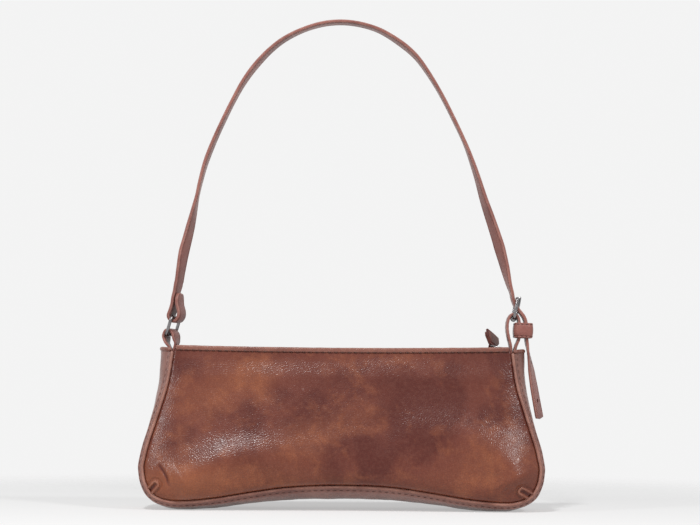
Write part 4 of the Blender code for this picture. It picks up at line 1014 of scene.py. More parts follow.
stitch_share = 1 - FACING_STITCH_IN / (FACING_OUTER_Y - FACING_INNER_Y)
stitch_lift = Vector((0.0, 0.0, FACING_WALL / 2 + 0.1 * MM))
for side, label in SIDES:
    place = facing_place(side)
    facing = bent_sheet(f"{label}_facing_strip", FACING_CELLS, place, below(FACING_WALL))
    thicken(facing, FACING_WALL, 0)
    edge = facing.modifiers.new("turned_edge", "BEVEL")
    edge.width = FACING_EDGE
    edge.segments = 2
    put(facing, "bag_body", strap_leather, "strap_leather", f"{label}_facing")
    line = [place(s, stitch_share) + stitch_lift for s in np.linspace(0.01, 0.99, 200)]
    threads = stitching(f"{label}_facing_stitches", line, [upward] * len(line))
    put(threads, "bag_body", brown_thread, "strap_leather")

# Zip: two woven tapes, a row of cast metal teeth on the edge of each, set so that they
# mesh in the middle, and a stop at both ends.

TAPE_LEFT, TAPE_RIGHT = (corner.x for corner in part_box("zip_tape_front"))
TAPE_INNER_Y, TAPE_OUTER_Y = 2.2 * MM, 9.6 * MM
TAPE_CELLS = (220, 6)
TOOTH_PITCH, TOOTH_WIDE, TOOTH_THICK = 2.9 * MM, 1.25 * MM, 2.0 * MM
TOOTH_OUTER_Y, TOOTH_INNER_Y = 2.7 * MM, 0.45 * MM
TOOTH_HEAD, TOOTH_HEAD_HEIGHT, TOOTH_ROUND = 0.28 * MM, 0.8, 0.25 * MM
STOP_ROOM, STOP_ROUND = 1.9 * MM, 0.4 * MM
TAPE_DARK, TAPE_LIGHT = (0.030, 0.014, 0.011), (0.070, 0.036, 0.029)
TAPE_RIB = 0.7 * MM
SCRATCH_SIZE, SCRATCH_DEPTH, SCRATCH_RUN = 0.35 * MM, 0.012 * MM, 0.12
STEEL_TONE, TEETH_TONE = (0.260, 0.250, 0.255), (0.175, 0.150, 0.135)


def metal(name, tone, roughness, scratch):
    """Plated metal: an even colour, fine handling scratches and a little unevenness."""
    paint = Paint(name)
    cloud = paint.remap(paint.grain(3 * MM, 3.0, 0.6), 0.35, 0.65)
    darker = tuple(0.72 * value for value in tone)
    stretched = paint.add("ShaderNodeMapping", Vector=paint.place, Scale=(1.0, 1.0, SCRATCH_RUN))
    lines = paint.add(
        "ShaderNodeTexNoise", result="Fac", Vector=stretched, Scale=1 / SCRATCH_SIZE, Detail=3.0
    )
    return paint.finish(
        Base_Color=paint.mix(cloud, darker, tone), Metallic=1.0,
        Roughness=paint.remap(lines, 0.3, 0.7, roughness, roughness + scratch),
        Normal=paint.bump(lines, SCRATCH_DEPTH),
    )


zip_tape_cloth = cloth_material("zip_tape_cloth", TAPE_DARK, TAPE_LIGHT, TAPE_RIB, 0.0)
zip_steel = metal("zip_steel", TEETH_TONE, 0.26, 0.12)
dark_nickel = metal("dark_nickel", STEEL_TONE, 0.12, 0.08)


def tape_place(side):
    def place(s, v):
        x = TAPE_LEFT + (TAPE_RIGHT - TAPE_LEFT) * s
        y = TAPE_INNER_Y + (TAPE_OUTER_Y - TAPE_INNER_Y) * v
        return Vector((x, side * y, ZIP_Z))

    return place


def add_block(bm, size, centre):
    """Adds a closed block of that size round a place, and gives its points."""
    matrix = Matrix.Translation(centre) @ Matrix.Diagonal((*size, 1.0))
    return bmesh.ops.create_cube(bm, size=1.0, matrix=matrix)["verts"]


def round_edges(bm, edges, width, segments):
    bmesh.ops.bevel(
        bm, geom=edges, offset=width, segments=segments, profile=0.5, affect="EDGES", material=-1
    )


def tooth(bm, x, side):
    """One tooth: a shank clamped on the tape's cord, and a head wider than its neck."""
    length = TOOTH_OUTER_Y - TOOTH_INNER_Y
    verts = add_block(bm, (TOOTH_WIDE, length, TOOTH_THICK), Vector())
    for vert in verts:
        if vert.co.y * side < 0:
            vert.co.x += math.copysign(TOOTH_HEAD, vert.co.x)
            vert.co.z *= TOOTH_HEAD_HEIGHT
    middle_y = side * (TOOTH_OUTER_Y + TOOTH_INNER_Y) / 2
    bmesh.ops.translate(bm, verts=verts, vec=Vector((x, middle_y, ZIP_Z)))
    round_edges(bm, list({edge for vert in verts for edge in vert.link_edges}), TOOTH_ROUND, 2)


for side, label in SIDES:
    tape = bent_sheet(f"zip_tape_cloth_{label}", TAPE_CELLS, tape_place(side), below(TAPE_WALL))
    thicken(tape, TAPE_WALL, 0)
    put(tape, "bag_body", zip_tape_cloth, "zip_tape", f"zip_tape_{label}")
    bm = bmesh.new()
    x = TAPE_LEFT + STOP_ROOM + (TOOTH_PITCH / 2 if side > 0 else 0.0)
    while x < TAPE_RIGHT - STOP_ROOM - TOOTH_WIDE:
        tooth(bm, x, side)
        x += TOOTH_PITCH
    teeth = finished(f"zip_teeth_{label}", bm)
    teeth.data.set_sharp_from_angle(angle=40 * DEG)
    put(teeth, "bag_body", zip_steel, "zip_metal")

for label in ("left", "right"):
    low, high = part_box(f"zip_stop_{label}")
    bm = bmesh.new()
    add_block(bm, high - low, (low + high) / 2)
    round_edges(bm, bm.edges, STOP_ROUND, 3)
    stop = finished(f"zip_stop_clip_{label}", bm)
    put(stop, "bag_body", zip_steel, "zip_metal", f"zip_stop_{label}")

# Slider: a die cast body of two plates joined by a neck, with lips that guide the teeth
# and a bridge over the top plate for the pull's ring.

SLIDER_X, SLIDER_LENGTH = 107.878 * MM, 9.4 * MM
SLIDER_WIDTH, SLIDER_HEIGHT = 7.8 * MM, 4.8 * MM
SLIDER_PLATE, SLIDER_ROUND = 1.1 * MM, 0.22 * MM
SLIDER_LIP, LIP_HEIGHT, LIP_SHARE, LIP_AT = 0.8 * MM, 0.75 * MM, 0.72, 0.06
NECK_RADIUS, NECK_LONG, NECK_AT = 0.35 * MM, 3.0, 0.36
BRIDGE_RISE, BRIDGE_WIDE, BRIDGE_WALL = 4.9 * MM, 1.4 * MM, 0.9 * MM
BRIDGE_STATIONS, BRIDGE_END_ROOM, BRIDGE_SUNK = 28, 1.4 * MM, 0.5 * MM
PLATE_SPOTS = [
    (-1.0, 0.42), (-0.93, 0.62), (-0.6, 0.78), (-0.1, 0.93), (0.4, 1.0), (0.82, 1.0),
    (0.97, 0.86), (1.0, 0.6),
]
BAR_SPOTS = [
    (1.0, 0.0), (0.97, 0.45), (0.82, 0.78), (0.5, 0.95), (0.0, 1.0), (-0.5, 0.95),
    (-0.82, 0.78), (-0.97, 0.45),
]


def plate(bm, low, high):
    """A slider plate: narrow where the teeth leave it, wide where they enter."""
    spots = PLATE_SPOTS + [(x, -y) for x, y in PLATE_SPOTS[::-1]]
    verts = [
        bm.verts.new((SLIDER_X + x * SLIDER_LENGTH / 2, y * SLIDER_WIDTH / 2, low))
        for x, y in spots
    ]
    face = bm.faces.new(verts)
    made = bmesh.ops.extrude_face_region(bm, geom=[face])
    top = [item for item in made["geom"] if isinstance(item, bmesh.types.BMVert)]
    bmesh.ops.translate(bm, verts=top, vec=Vector((0.0, 0.0, high - low)))


def slider_body():
    bm = bmesh.new()
    half = SLIDER_HEIGHT / 2
    plate(bm, ZIP_Z + half - SLIDER_PLATE, ZIP_Z + half)
    plate(bm, ZIP_Z - half, ZIP_Z - half + SLIDER_PLATE)
    neck = Matrix.Translation((SLIDER_X + NECK_AT * SLIDER_LENGTH, 0.0, ZIP_Z))
    bmesh.ops.create_cone(
        bm, cap_ends=True, segments=12, radius1=NECK_RADIUS, radius2=NECK_RADIUS,
        depth=SLIDER_HEIGHT - 0.4 * MM, matrix=neck @ Matrix.Diagonal((NECK_LONG, 1, 1, 1)),
    )
    lip_size = (LIP_SHARE * SLIDER_LENGTH, SLIDER_LIP, LIP_HEIGHT)
    lip_x = SLIDER_X + LIP_AT * SLIDER_LENGTH
    lip_y = (SLIDER_WIDTH - 1.25 * SLIDER_LIP) / 2
    lip_z = half - SLIDER_PLATE - LIP_HEIGHT / 2 + 0.1 * MM
    for side in (-1, 1):
        for sign in (-1, 1):
            add_block(bm, lip_size, (lip_x, side * lip_y, ZIP_Z + sign * lip_z))
    bmesh.ops.recalc_face_normals(bm, faces=bm.faces)
    sharp = [edge for edge in bm.edges if edge.calc_face_angle(0.0) > 40 * DEG]
    round_edges(bm, sharp, SLIDER_ROUND, 3)
    return finished("slider_body", bm)


def bar_stations(points, width_ways, half_widths, half_wall):
    """Stations along points for a bar or a strap that lies across width_ways."""
    stations = []
    for point, along, way, half in zip(points, ways_along(points), width_ways, half_widths):
        stations.append((point, half * way, half_wall * along.cross(way).normalized()))
    return stations


bridge_points = []
for angle in np.linspace(0, math.pi, BRIDGE_STATIONS).tolist():
    x = SLIDER_X - (SLIDER_LENGTH - BRIDGE_END_ROOM) / 2 * math.cos(angle)
    rise = SLIDER_HEIGHT / 2 - BRIDGE_SUNK + BRIDGE_RISE * math.sin(angle) ** 0.5
    bridge_points.append(Vector((x, 0.0, ZIP_Z + rise)))
bar_ring = [(sign * a, sign * b, 0.0) for sign in (1, -1) for a, b in BAR_SPOTS]
level_way = Vector((0.0, 1.0, 0.0))
bridge_stations = bar_stations(
    bridge_points, repeat(level_way), repeat(BRIDGE_WIDE / 2), BRIDGE_WALL / 2
)
bridge = swept("slider_bridge", bridge_stations, bar_ring)
put(slider_body(), "slider", dark_nickel, "dark_nickel", "zip_slider")
put(bridge, "slider", dark_nickel, "dark_nickel")

# Zip pull: a round wire ring through the bridge, and a leather tab folded round the ring
# and sewn through along both sides.

PULL_WIDTH_WAY = Vector((0.60, 0.66, -0.46)).normalized()
PULL_RING_WAY = Vector((-0.60, 0.75, 0.28)).normalized()
PULL_UP_WAY = Vector((-0.02, 0.582, 0.813)).normalized()
PULL_RING_RADIUS, PULL_WIRE = 4.7 * MM, 0.65 * MM
PULL_SEAT = Vector((109.178, -0.4, 108.5)) * MM
PULL_TAB_LENGTH, PULL_TAB_WALL = 12.0 * MM, 1.3 * MM
PULL_END_WIDTH, PULL_FOLD_WIDTH = 14.5 * MM, 3.6 * MM
PULL_CLOSING, PULL_SPREAD = 0.9, 0.57
PULL_EYE = PULL_WIRE + 0.8 * MM + PULL_TAB_WALL / 2
PULL_OVERLAP, PULL_PUFF = 0.2 * MM, 0.34 * MM
PULL_STATIONS, RING_STATIONS = 90, 72
PULL_DARK = (0.160, 0.050, 0.038)
PULL_MID = (0.250, 0.092, 0.066)
PULL_WARM = (0.290, 0.115, 0.080)
PULL_EDGE = (0.055, 0.014, 0.016)

pull_centre = PULL_SEAT + PULL_RING_RADIUS * PULL_RING_WAY
pull_fold = pull_centre + PULL_RING_RADIUS * PULL_RING_WAY
pull_side_way = PULL_WIDTH_WAY.cross(PULL_UP_WAY).normalized()
ring_side_way = PULL_RING_WAY.cross(PULL_WIDTH_WAY).normalized()
stations = []
for angle in np.linspace(0, 2 * math.pi, RING_STATIONS, endpoint=False).tolist():
    way = math.cos(angle) * PULL_RING_WAY + math.sin(angle) * PULL_WIDTH_WAY
    centre = pull_centre + PULL_RING_RADIUS * way
    stations.append((centre, PULL_WIRE * way, PULL_WIRE * ring_side_way))
pull_ring = swept("zip_pull_ring_wire", stations, round_ring(ROUND_SIDES), closed=True)
put(pull_ring, "pull_ring", dark_nickel, "dark_nickel", "zip_pull_ring")

HALF_SECTION = [
    (1.0, 0.0), (0.995, 0.42), (0.97, 0.68), (0.93, 0.80), (0.86, 0.86), (0.80, 0.87),
    (0.77, 0.78), (0.74, 0.78), (0.71, 0.88), (0.60, 0.93), (0.35, 0.98), (0.0, 1.0),
]
STRAP_EDGE_WEAR, FACE_WEAR = 0.3, 0.25


def four_fold(quarter):
    """A whole section from its first quarter."""
    half = quarter + [(-a, b, worn) for a, b, worn in quarter[-2::-1]]
    return half + [(a, -b, worn) for a, b, worn in half[-2:0:-1]]


def strap_ring(worn=STRAP_EDGE_WEAR):
    """Round the section of a strap: crowned faces, a sunk stitch line and turned edges."""
    return four_fold([
        (a, b, worn if 0.9 < a < 0.999 else FACE_WEAR * worn * b) for a, b in HALF_SECTION
    ])


def pull_spot(share):
    """Place, half width and half wall of the tab: down one side, round the ring and up."""
    layer = (PULL_TAB_WALL - PULL_OVERLAP) / 2
    straight = PULL_TAB_LENGTH - PULL_EYE
    turn = math.pi * PULL_EYE
    reach = share * (2 * straight + turn)
    near = 0.0
    if straight < reach < straight + turn:
        angle = (reach - straight) / PULL_EYE
        up, out = -PULL_EYE * math.sin(angle), PULL_EYE * math.cos(angle)
    else:
        first = reach <= straight
        up = PULL_TAB_LENGTH - reach if first else reach - straight - turn
        near = step_between(0.0, PULL_CLOSING, up / PULL_EYE)
        out = (1 if first else -1) * (PULL_EYE + (layer - PULL_EYE) * near)
    spread = min(1.0, max(0.0, up / (PULL_SPREAD * PULL_TAB_LENGTH)))
    width = PULL_FOLD_WIDTH + (PULL_END_WIDTH - PULL_FOLD_WIDTH) * spread
    place = pull_fold + up * PULL_UP_WAY + out * pull_side_way
    return place, width / 2, PULL_TAB_WALL / 2 + near * PULL_PUFF


spots = [pull_spot(share) for share in np.linspace(0, 1, PULL_STATIONS).tolist()]
points, halves, walls = zip(*spots)
outs = [out for _, _, out in bar_stations(points, repeat(PULL_WIDTH_WAY), repeat(1.0), 1.0)]
stations = [
    (point, half * PULL_WIDTH_WAY, wall * out)
    for point, half, wall, out in zip(points, halves, walls, outs)
]
pull_leather = leather(
    "pull_leather", PULL_DARK, PULL_MID, PULL_WARM, PULL_EDGE, STRAP_PEBBLE, shine=0.15
)
pull_tab = swept("zip_pull_leather", tapered(stations, 0.25 * MM), strap_ring(1.0))
put(pull_tab, "pull_tab", pull_leather, "strap_leather", "zip_pull_tab")

# Tabs: a strip of turned leather folded round each fitting's lower bar. Both layers are
# sewn down together into the well at the end of the zip.

TAB_WALL, STRAP_WIDTH, STRAP_WALL = 2.0 * MM, 12.0 * MM, 2.5 * MM
TAB_X, TAB_ROOT_Z, TAB_ROOT_RADIUS = 116.478 * MM, 108.0 * MM, 6.0 * MM
TAB_ROOT_LEAST, TAB_LAYER_GAP = 1.6 * MM, 0.4 * MM
FITTING_WIRE = 1.1 * MM
TAB_EYE = FITTING_WIRE + TAB_WALL / 2 + 1.0 * MM
LEFT_TURN, LEFT_TURN_LOW, LEFT_TURN_HIGH = -18 * DEG, 109 * MM, 117 * MM
RING_HEIGHT, RING_LEAN = 12.5 * MM, 16.7 * DEG
BUCKLE_HEIGHT, BUCKLE_LEAN = 13.9 * MM, 9.9 * DEG
RING_BOTTOM = Vector((-TAB_X - 1.6 * MM, 0.0, TAB_ROOT_Z + 10.2 * MM))
RING_TOP = RING_BOTTOM + RING_HEIGHT * Vector((math.sin(RING_LEAN), 0.0, math.cos(RING_LEAN)))
BUCKLE_UP = 22.9 * MM
BUCKLE_HEEL = Vector((TAB_X + 0.7 * MM, 0.0, TAB_ROOT_Z + BUCKLE_UP))
BUCKLE_WAY = Vector((math.sin(BUCKLE_LEAN), 0.0, math.cos(BUCKLE_LEAN)))
BUCKLE_SIDE = Vector((BUCKLE_WAY.z, 0.0, -BUCKLE_WAY.x))
BUCKLE_TOP = BUCKLE_HEEL + BUCKLE_HEIGHT * BUCKLE_WAY
PRONG_SLOT = Vector((8.8, 3.4, 11.0)) * MM
EDGE_PITCH, EDGE_THREAD, EDGE_THREAD_THICK = 3.0 * MM, 1.98 * MM, 0.34 * MM
STITCH_RISE = 0.8
TAB_STATIONS = 150
LEFT_TAB_SHARES = [
    (-0.70, 0.0, 0.56), (-0.95, 0.0, 0.31), (-1.06, -0.06, 0.0), (-0.55, 0.97, 0.0),
    (0.35, 1.0, 0.0), (1.12, 0.19, 0.0), (1.35, 0.0, 0.31), (1.40, 0.0, 0.56),
]
RIGHT_TAB_SHARES = [
    (-0.71, 0.0, 0.80), (-1.13, 0.0, 0.56), (-1.42, 0.0, 0.30), (-1.29, 0.0, 0.08),
    (-0.77, 0.55, 0.0), (0.03, 1.0, 0.0), (0.84, 0.48, 0.0), (1.19, 0.0, 0.10),
    (1.35, 0.0, 0.32), (1.19, 0.0, 0.585), (0.55, 0.0, 0.81),
]


def turned(point, width_way):
    """The left fittings are turned a little about an upright line, more so higher up."""
    angle = LEFT_TURN * step_between(LEFT_TURN_LOW, LEFT_TURN_HIGH, point.z)
    turn = Matrix.Rotation(angle, 3, "Z")
    centre = Vector((-TAB_X, 0.0, 0.0))
    return turn @ (point - centre) + centre, turn @ width_way


def tab_path(side, bar, eye_shares):
    """Places of a tab's middle line, from its root up round the bar and back down."""
    stem = bar.z - TAB_ROOT_Z
    inner, outer = TAB_X - (TAB_WALL + TAB_LAYER_GAP) / 2, TAB_X + (TAB_WALL + TAB_LAYER_GAP) / 2
    first, last = (inner, outer) if side > 0 else (-outer, -inner)
    low = TAB_ROOT_Z - TAB_ROOT_RADIUS
    loop = [(bar.x + TAB_EYE * x, bar.z + TAB_EYE * z - stem * down) for x, z, down in eye_shares]
    return [(first, low), (first, TAB_ROOT_Z)] + loop + [(last, TAB_ROOT_Z), (last, low)]


def edge_stitching(name, stations, share=0.755, faces=(1, -1), skip=4):
    """Threads along both edges of a strap, on one or both of its faces."""
    stations = stations[skip:len(stations) - skip]
    bm = bmesh.new()
    for face in faces:
        for edge in (-1, 1):
            line = [
                centre + edge * share * across + STITCH_RISE * face * out
                for centre, across, out in stations
            ]
            outs = [face * out for _, _, out in stations]
            row = stitching(name, line, outs, EDGE_PITCH, EDGE_THREAD, EDGE_THREAD_THICK)
            bm.from_mesh(row.data)
            bpy.data.objects.remove(row)
    return finished(name, bm)


def block(name, size, centre):
    bm = bmesh.new()
    add_block(bm, size, centre)
    return finished(name, bm)


def cut_out(made, tool):
    """Cuts a closed tool out of a piece for good."""
    cut = made.modifiers.new("cut", "BOOLEAN")
    cut.object = tool
    cut.solver = "EXACT"
    bpy.context.view_layer.update()
    graph = bpy.context.evaluated_depsgraph_get()
    mesh = bpy.data.meshes.new_from_object(made.evaluated_get(graph))
    made.modifiers.clear()
    made.data = mesh
    bpy.data.objects.remove(tool)


for side, label, bar, shares in (
    (-1, "left", RING_BOTTOM, LEFT_TAB_SHARES), (1, "right", BUCKLE_HEEL, RIGHT_TAB_SHARES)
):
    points, ways, halves = [], [], []
    for x, z in smooth_line(tab_path(side, bar, shares), TAB_STATIONS).tolist():
        point, way = Vector((x, 0.0, z)), level_way
        if side < 0:
            point, way = turned(point, way)
        points.append(point)
        ways.append(way)
        low = max(0.0, TAB_ROOT_Z - z)
        halves.append(max(TAB_ROOT_LEAST, math.sqrt(max(0.0, TAB_ROOT_RADIUS**2 - low**2))))
    stations = bar_stations(points, ways, halves, TAB_WALL / 2)
    tab = swept(f"{label}_tab_loop", tapered(stations, 0.6 * MM), strap_ring())
    if side > 0:
        slot_out = 0.15 * PRONG_SLOT.x * BUCKLE_SIDE + 0.3 * PRONG_SLOT.z * BUCKLE_WAY
        cut_out(tab, block("prong_slot", PRONG_SLOT, BUCKLE_HEEL + slot_out))
        tab.data.set_sharp_from_angle(angle=50 * DEG)
    put(tab, "carry_strap", strap_leather, "strap_leather", f"{label}_tab")
    threads = edge_stitching(f"{label}_tab_stitches", stations, skip=8)
    put(threads, "carry_strap", brown_thread, "strap_leather")

# Ring and buckle: bent and welded wire frames, plated dark nickel. The buckle's prong is
# a tapered pin with its end curled round the lower bar.

FITTING_CORNER = 2.2 * MM
FITTING_HALF_WIDTH = STRAP_WIDTH / 2 + 0.5 * MM + FITTING_WIRE
CORNER_STEPS, SIDE_STEPS = 10, 6
CORNERS = ((1, 1, 0), (-1, 1, 90), (-1, -1, 180), (1, -1, 270))
PRONG_RADIUS, PRONG_HALF_WIDE, PRONG_PAST = 0.8 * MM, 1.1 * MM, 2.0 * MM
PRONG_EYE_WALL, PRONG_EYE_TURN, PRONG_ROOM = 0.9 * MM, 280 * DEG, 0.15 * MM
PRONG_STATIONS, PRONG_THINNING = 48, 0.25


def corner_arcs(half_u, half_v, corner):
    """The places round each corner of a rounded rectangle, with their outward ways."""
    for side_u, side_v, start in CORNERS:
        arc = []
        for step in range(CORNER_STEPS + 1):
            angle = (start + 90 * step / CORNER_STEPS) * DEG
            way_u, way_v = math.cos(angle), math.sin(angle)
            u = side_u * (half_u - corner) + corner * way_u
            arc.append((u, side_v * (half_v - corner) + corner * way_v, way_u, way_v))
        yield arc


def wire_frame(name, low, high, width_way):
    """A rounded rectangle of wire whose two bars run through low and high."""
    along = (high - low).normalized()
    side_way = FITTING_WIRE * width_way.cross(along).normalized()
    stations = []
    for arc in corner_arcs(FITTING_HALF_WIDTH, (high - low).length / 2, FITTING_CORNER):
        for u, v, way_u, way_v in arc:
            point = (low + high) / 2 + width_way * u + along * v
            stations.append((point, FITTING_WIRE * (way_u * width_way + way_v * along), side_way))
    return swept(name, stations, round_ring(ROUND_SIDES), closed=True)


ring_top, ring_way = turned(RING_TOP, level_way)
ring_bottom, _ = turned(RING_BOTTOM, level_way)
ring = wire_frame("left_ring_wire", ring_bottom, ring_top, ring_way)
put(ring, "ring", dark_nickel, "dark_nickel", "left_ring")
buckle = wire_frame("buckle_wire", BUCKLE_HEEL, BUCKLE_TOP, level_way)
put(buckle, "buckle", dark_nickel, "dark_nickel", "buckle_frame")

prong_rest = BUCKLE_TOP + (FITTING_WIRE + PRONG_ROOM + PRONG_RADIUS) * BUCKLE_SIDE
prong_run = (prong_rest - BUCKLE_HEEL).normalized()
prong_side = Vector((prong_run.z, 0.0, -prong_run.x))
eye_radius = FITTING_WIRE + PRONG_ROOM + PRONG_EYE_WALL / 2
stations = []
for angle in np.linspace(-PRONG_EYE_TURN, 0, PRONG_STATIONS // 2).tolist():
    way = math.cos(angle) * prong_side + math.sin(angle) * prong_run
    centre = BUCKLE_HEEL + eye_radius * way
    stations.append((centre, PRONG_HALF_WIDE * level_way, PRONG_EYE_WALL / 2 * way))
foot = BUCKLE_HEEL + eye_radius * prong_side
tip = prong_rest + PRONG_PAST * prong_run
for share in np.linspace(0.12, 1, PRONG_STATIONS // 2).tolist():
    thin = PRONG_EYE_WALL / 2
    thin += (PRONG_RADIUS - thin) * step_between(0.1, 0.4, share)
    wide = PRONG_HALF_WIDE + (PRONG_RADIUS - PRONG_HALF_WIDE) * step_between(0.1, 0.5, share)
    point_share = 1 - PRONG_THINNING * step_between(0.7, 1.0, share)
    across, out = wide * point_share * level_way, thin * point_share * prong_side
    stations.append((foot.lerp(tip, share), across, out))
prong = swept("buckle_prong_pin", tapered(stations, 0.7 * MM), round_ring(ROUND_SIDES))
put(prong, "prong", dark_nickel, "dark_nickel", "buckle_prong")

# Strap: one long belt of turned leather with both edges stitched. Its left end is folded
# round the ring and sewn to itself, and its right end passes through the buckle and hangs
# down outside, with punched holes.

FOLD_REACH = FITTING_WIRE + STRAP_WALL / 2 + 0.35 * MM
TONGUE_LENGTH, TONGUE_LAYER = 17.0 * MM, STRAP_WALL + 0.2 * MM
TONGUE_LAYER_SHARES = [(1.0, 1.0), (1.08, 0.78), (1.4, 0.52)]
FOLD_SHARES = [
    (1.50, 1.55), (1.46, 0.26), (0.85, -0.70), (0.04, -1.0), (-0.81, -0.63), (-1.30, 0.41),
]
STRAP_RISE_SHARES = [(-0.82, 0.29), (-0.34, 0.535), (-0.12, 0.78), (0.15, 1.035), (0.59, 1.34)]
STRAP_RISE, ARCH_PEAK_X = 227.8 * MM, -4.0 * MM
LEFT_ARCH_SHARES = [
    (0.014, 0.058), (0.031, 0.121), (0.056, 0.183), (0.079, 0.245), (0.102, 0.312),
    (0.129, 0.389), (0.163, 0.465), (0.212, 0.543), (0.268, 0.619), (0.328, 0.694),
    (0.394, 0.767), (0.470, 0.831), (0.566, 0.893), (0.669, 0.940), (0.805, 0.978),
    (0.945, 0.998),
]
RIGHT_ARCH_SHARES = [
    (0.915, 0.997), (0.775, 0.973), (0.650, 0.926), (0.551, 0.872), (0.473, 0.804),
    (0.397, 0.722), (0.325, 0.630), (0.251, 0.526), (0.192, 0.419), (0.147, 0.321),
    (0.104, 0.238), (0.063, 0.156), (0.028, 0.074), (0.0, 0.0),
]
PASS_REACH = FITTING_WIRE + STRAP_WALL / 2 + 0.55 * MM
PASS_SHARES = [(-1.93, 0.75), (-1.28, 0.317), (-1.0, 0.0), (-0.55, -0.273), (0.10, -0.504)]
LAYER_ROOM, LAYER_SHARE = 2.15 * MM, 1.35
HEEL_REACH = LAYER_SHARE * TAB_EYE + TAB_WALL / 2 + LAYER_ROOM + STRAP_WALL / 2
HEEL_SHARES = [(0.58, 0.17), (0.81, 0.048), (0.95, -0.092), (1.0, -0.28), (1.01, -0.551)]
TAIL_OUT, TAIL_DROP = 9.4 * MM, 56.0 * MM
TAIL_SHARES = [(0.11, 0.13), (0.33, 0.35), (0.51, 0.54), (0.75, 0.77), (1.0, 1.0)]
LEFT_END_SHARE = 0.085
STRAP_TWIST_SHARES = [
    (0.0, -18), (0.09, -18), (0.12, -25), (0.15, -18), (0.185, 0), (0.23, -5), (0.30, -3),
    (0.35, -7), (0.42, 0), (0.50, 0), (0.54, -5), (0.60, 0), (0.67, 1), (0.72, -9),
    (0.76, -20), (0.80, -27), (0.825, -18), (0.85, -2), (0.865, 0), (0.915, 0), (0.945, 21),
    (0.965, 26), (1.0, 28),
]
HOLE_RADIUS, HOLE_FIRST_DROP = 1.3 * MM, 29.9 * MM
HOLE_STEP, HOLE_TIP_ROOM = 26.3 * MM, 3.5 * MM
HOLE_REACH, PRONG_HOLE_RADIUS = 3.2 * MM, PRONG_RADIUS + 0.6 * MM
TAIL_START = 0.85
TAIL_THIN, TAIL_THIN_SHARES = 0.25, (0.90, 0.93)
TIP_ROUNDS = ((-1, 3.0 * MM, 0.6), (0, 5.6 * MM, 0.95))
STRAP_STATIONS = 620


def places_from(origin, size_x, size_z, shares):
    return [(origin[0] + size_x * x, origin[1] + size_z * z) for x, z in shares]


def strap_path():
    """Places of the strap's middle line, from the tongue's tip to the tail's tip."""
    at_ring, at_top = (RING_TOP.x, RING_TOP.z), (BUCKLE_TOP.x, BUCKLE_TOP.z)
    rise = places_from(at_ring, FOLD_REACH, TONGUE_LENGTH, STRAP_RISE_SHARES)
    rise_x, rise_z = np.array(rise).T
    tongue = []
    for layer, up in TONGUE_LAYER_SHARES:
        z = RING_TOP.z + TONGUE_LENGTH * up
        tongue.append((np.interp(z, rise_z, rise_x) + TONGUE_LAYER * layer, z))
    fold = places_from(at_ring, FOLD_REACH, FOLD_REACH, FOLD_SHARES)
    past = places_from(at_top, PASS_REACH, BUCKLE_HEIGHT, PASS_SHARES)
    heel = places_from((BUCKLE_HEEL.x, BUCKLE_HEEL.z), HEEL_REACH, BUCKLE_UP, HEEL_SHARES)
    tail = places_from(heel[-1], TAIL_OUT, -TAIL_DROP, TAIL_SHARES)
    peak_z = TAB_ROOT_Z + STRAP_RISE
    arch = []
    for foot, arch_shares in ((rise[-1], LEFT_ARCH_SHARES), (past[0], RIGHT_ARCH_SHARES[:-1])):
        arch += places_from(foot, ARCH_PEAK_X - foot[0], peak_z - foot[1], arch_shares)
    return np.array(tongue + fold + rise + arch + past + heel + tail)


def rod(name, start, end, radius):
    """A closed round bar between two places."""
    bm = bmesh.new()
    way = end - start
    turn = way.to_track_quat("Z", "Y").to_matrix().to_4x4()
    bmesh.ops.create_cone(
        bm, cap_ends=True, segments=32, radius1=radius, radius2=radius, depth=way.length,
        matrix=Matrix.Translation((start + end) / 2) @ turn,
    )
    return finished(name, bm)


strap_line = smooth_line(strap_path(), STRAP_STATIONS)
strap_ways = np.gradient(strap_line, axis=0)
strap_shares = np.linspace(0, 1, STRAP_STATIONS).tolist()
points, ways = [], []
for share, (x, z), (way_x, way_z) in zip(strap_shares, strap_line.tolist(), strap_ways.tolist()):
    point = Vector((x, 0.0, z))
    if share < LEFT_END_SHARE:
        point, way = turned(point, level_way)
    else:
        keep = 1 - step_between(LEFT_END_SHARE, 2 * LEFT_END_SHARE, share)
        point.y = keep * turned(point, level_way)[0].y
        twist = float(np.interp(share, *zip(*STRAP_TWIST_SHARES))) * DEG
        way = Matrix.Rotation(twist, 3, Vector((way_x, 0.0, way_z))) @ level_way
    points.append(point)
    ways.append(way)
halves = []
for point in points:
    half = STRAP_WIDTH / 2
    for tip, reach, share in TIP_ROUNDS:
        from_tip = min(1.0, (point - points[tip]).length / reach)
        half -= reach * share * (1 - math.sqrt(1 - (1 - from_tip) ** 2))
    halves.append(half)
stations = [
    (centre, across, (1 - TAIL_THIN * step_between(*TAIL_THIN_SHARES, share)) * out)
    for share, (centre, across, out) in zip(
        strap_shares, bar_stations(points, ways, halves, STRAP_WALL / 2)
    )
]
strap = swept("strap_leather_belt", tapered(stations, 0.8 * MM), strap_ring())
prong_foot = BUCKLE_HEEL + (FITTING_WIRE + PRONG_RADIUS) * prong_run
cut_out(strap, rod("prong_hole", prong_foot, prong_rest, PRONG_HOLE_RADIUS))
hole_z = BUCKLE_HEEL.z - HOLE_FIRST_DROP
tail = stations[int(TAIL_START * STRAP_STATIONS):]
while hole_z > points[-1].z + HOLE_TIP_ROOM:
    above = next(index for index, (centre, _, _) in enumerate(tail) if centre.z < hole_z) - 1
    share = (tail[above][0].z - hole_z) / (tail[above][0].z - tail[above + 1][0].z)
    centre = tail[above][0].lerp(tail[above + 1][0], share)
    reach = HOLE_REACH * tail[above][2].normalized()
    cut_out(strap, rod("belt_hole", centre - reach, centre + reach, HOLE_RADIUS))
    hole_z -= HOLE_STEP
strap.data.set_sharp_from_angle(angle=50 * DEG)
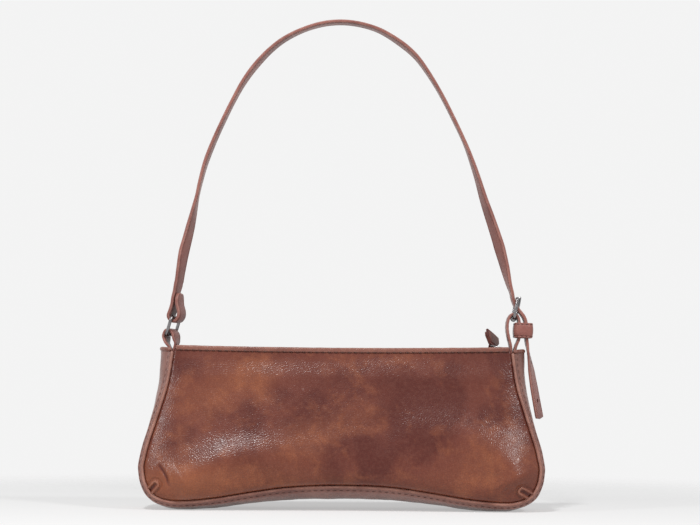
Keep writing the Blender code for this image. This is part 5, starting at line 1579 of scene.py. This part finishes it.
put(strap, "carry_strap", strap_leather, "strap_leather", "strap")
threads = edge_stitching("strap_stitches", stations, skip=5)
put(threads, "carry_strap", brown_thread, "strap_leather")

# Keeper: a loop of leather with painted edges round the strap's tail and the right tab.

KEEPER_WALL, KEEPER_HEIGHT, KEEPER_CORNER = 1.7 * MM, 10.2 * MM, 3.0 * MM
KEEPER_LEAN, KEEPER_DROP = 1.5 * DEG, 0.355 * BUCKLE_UP
KEEPER_LAYERS = TAB_WALL + LAYER_ROOM + STRAP_WALL
KEEPER_WIDTH = KEEPER_LAYERS + 2 * (1.5 * MM + KEEPER_WALL)
KEEPER_DEPTH = STRAP_WIDTH + 2 * (0.8 * MM + KEEPER_WALL)
KEEPER_CENTRE = BUCKLE_HEEL + Vector(
    (LAYER_SHARE * TAB_EYE + (KEEPER_LAYERS - TAB_WALL) / 2, 0.0, -KEEPER_DROP)
)
KEEPER_SECTION = [
    (1.0, 0.0), (0.995, 0.40), (0.965, 0.66), (0.90, 0.76), (0.85, 0.74), (0.82, 0.50),
    (0.77, 0.50), (0.73, 0.76), (0.6, 0.94), (0.3, 1.12), (0.0, 1.18),
]
KEEPER_BOW, KEEPER_BOW_TURN = 0.7 * MM, 0.16

lean = Matrix.Rotation(KEEPER_LEAN, 3, "Y")
half_x, half_y = (KEEPER_WIDTH - KEEPER_WALL) / 2, (KEEPER_DEPTH - KEEPER_WALL) / 2
stations = []
keeper_up = lean @ Vector((0.0, 0.0, KEEPER_HEIGHT / 2))
for arc in corner_arcs(half_x, half_y, KEEPER_CORNER):
    spots = [
        (Vector((x, y, 0.0)), Vector((way_x, way_y, 0.0))) for x, y, way_x, way_y in arc
    ]
    last, out = spots[-1]
    way = Vector((-out.y, out.x, 0.0))
    run = 2 * ((half_x if abs(way.x) > 0.5 else half_y) - KEEPER_CORNER)
    for share in np.linspace(0, 1, SIDE_STEPS + 1)[1:-1].tolist():
        bow = KEEPER_BOW * 4 * share * (1 - share) * abs(out.y)
        lean_out = KEEPER_BOW_TURN * abs(out.y) * (2 * share - 1)
        spots.append((last + share * run * way + bow * out, out + lean_out * way))
    for spot, way_out in spots:
        wall = KEEPER_WALL / 2 * way_out.normalized()
        stations.append((KEEPER_CENTRE + lean @ spot, keeper_up, lean @ wall))
ring = four_fold([(a, b, STRAP_EDGE_WEAR if a > 0.9 else 0.0) for a, b in KEEPER_SECTION])
keeper = swept("keeper_band", stations, ring, closed=True)
put(keeper, "keeper", strap_leather, "strap_leather", "strap_keeper")
threads = edge_stitching("keeper_stitches", stations + stations[:1], 0.785, (1,), skip=1)
put(threads, "keeper", brown_thread, "strap_leather")

size = {"cad": cad_box, "visual": [list(corner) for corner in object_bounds()]}
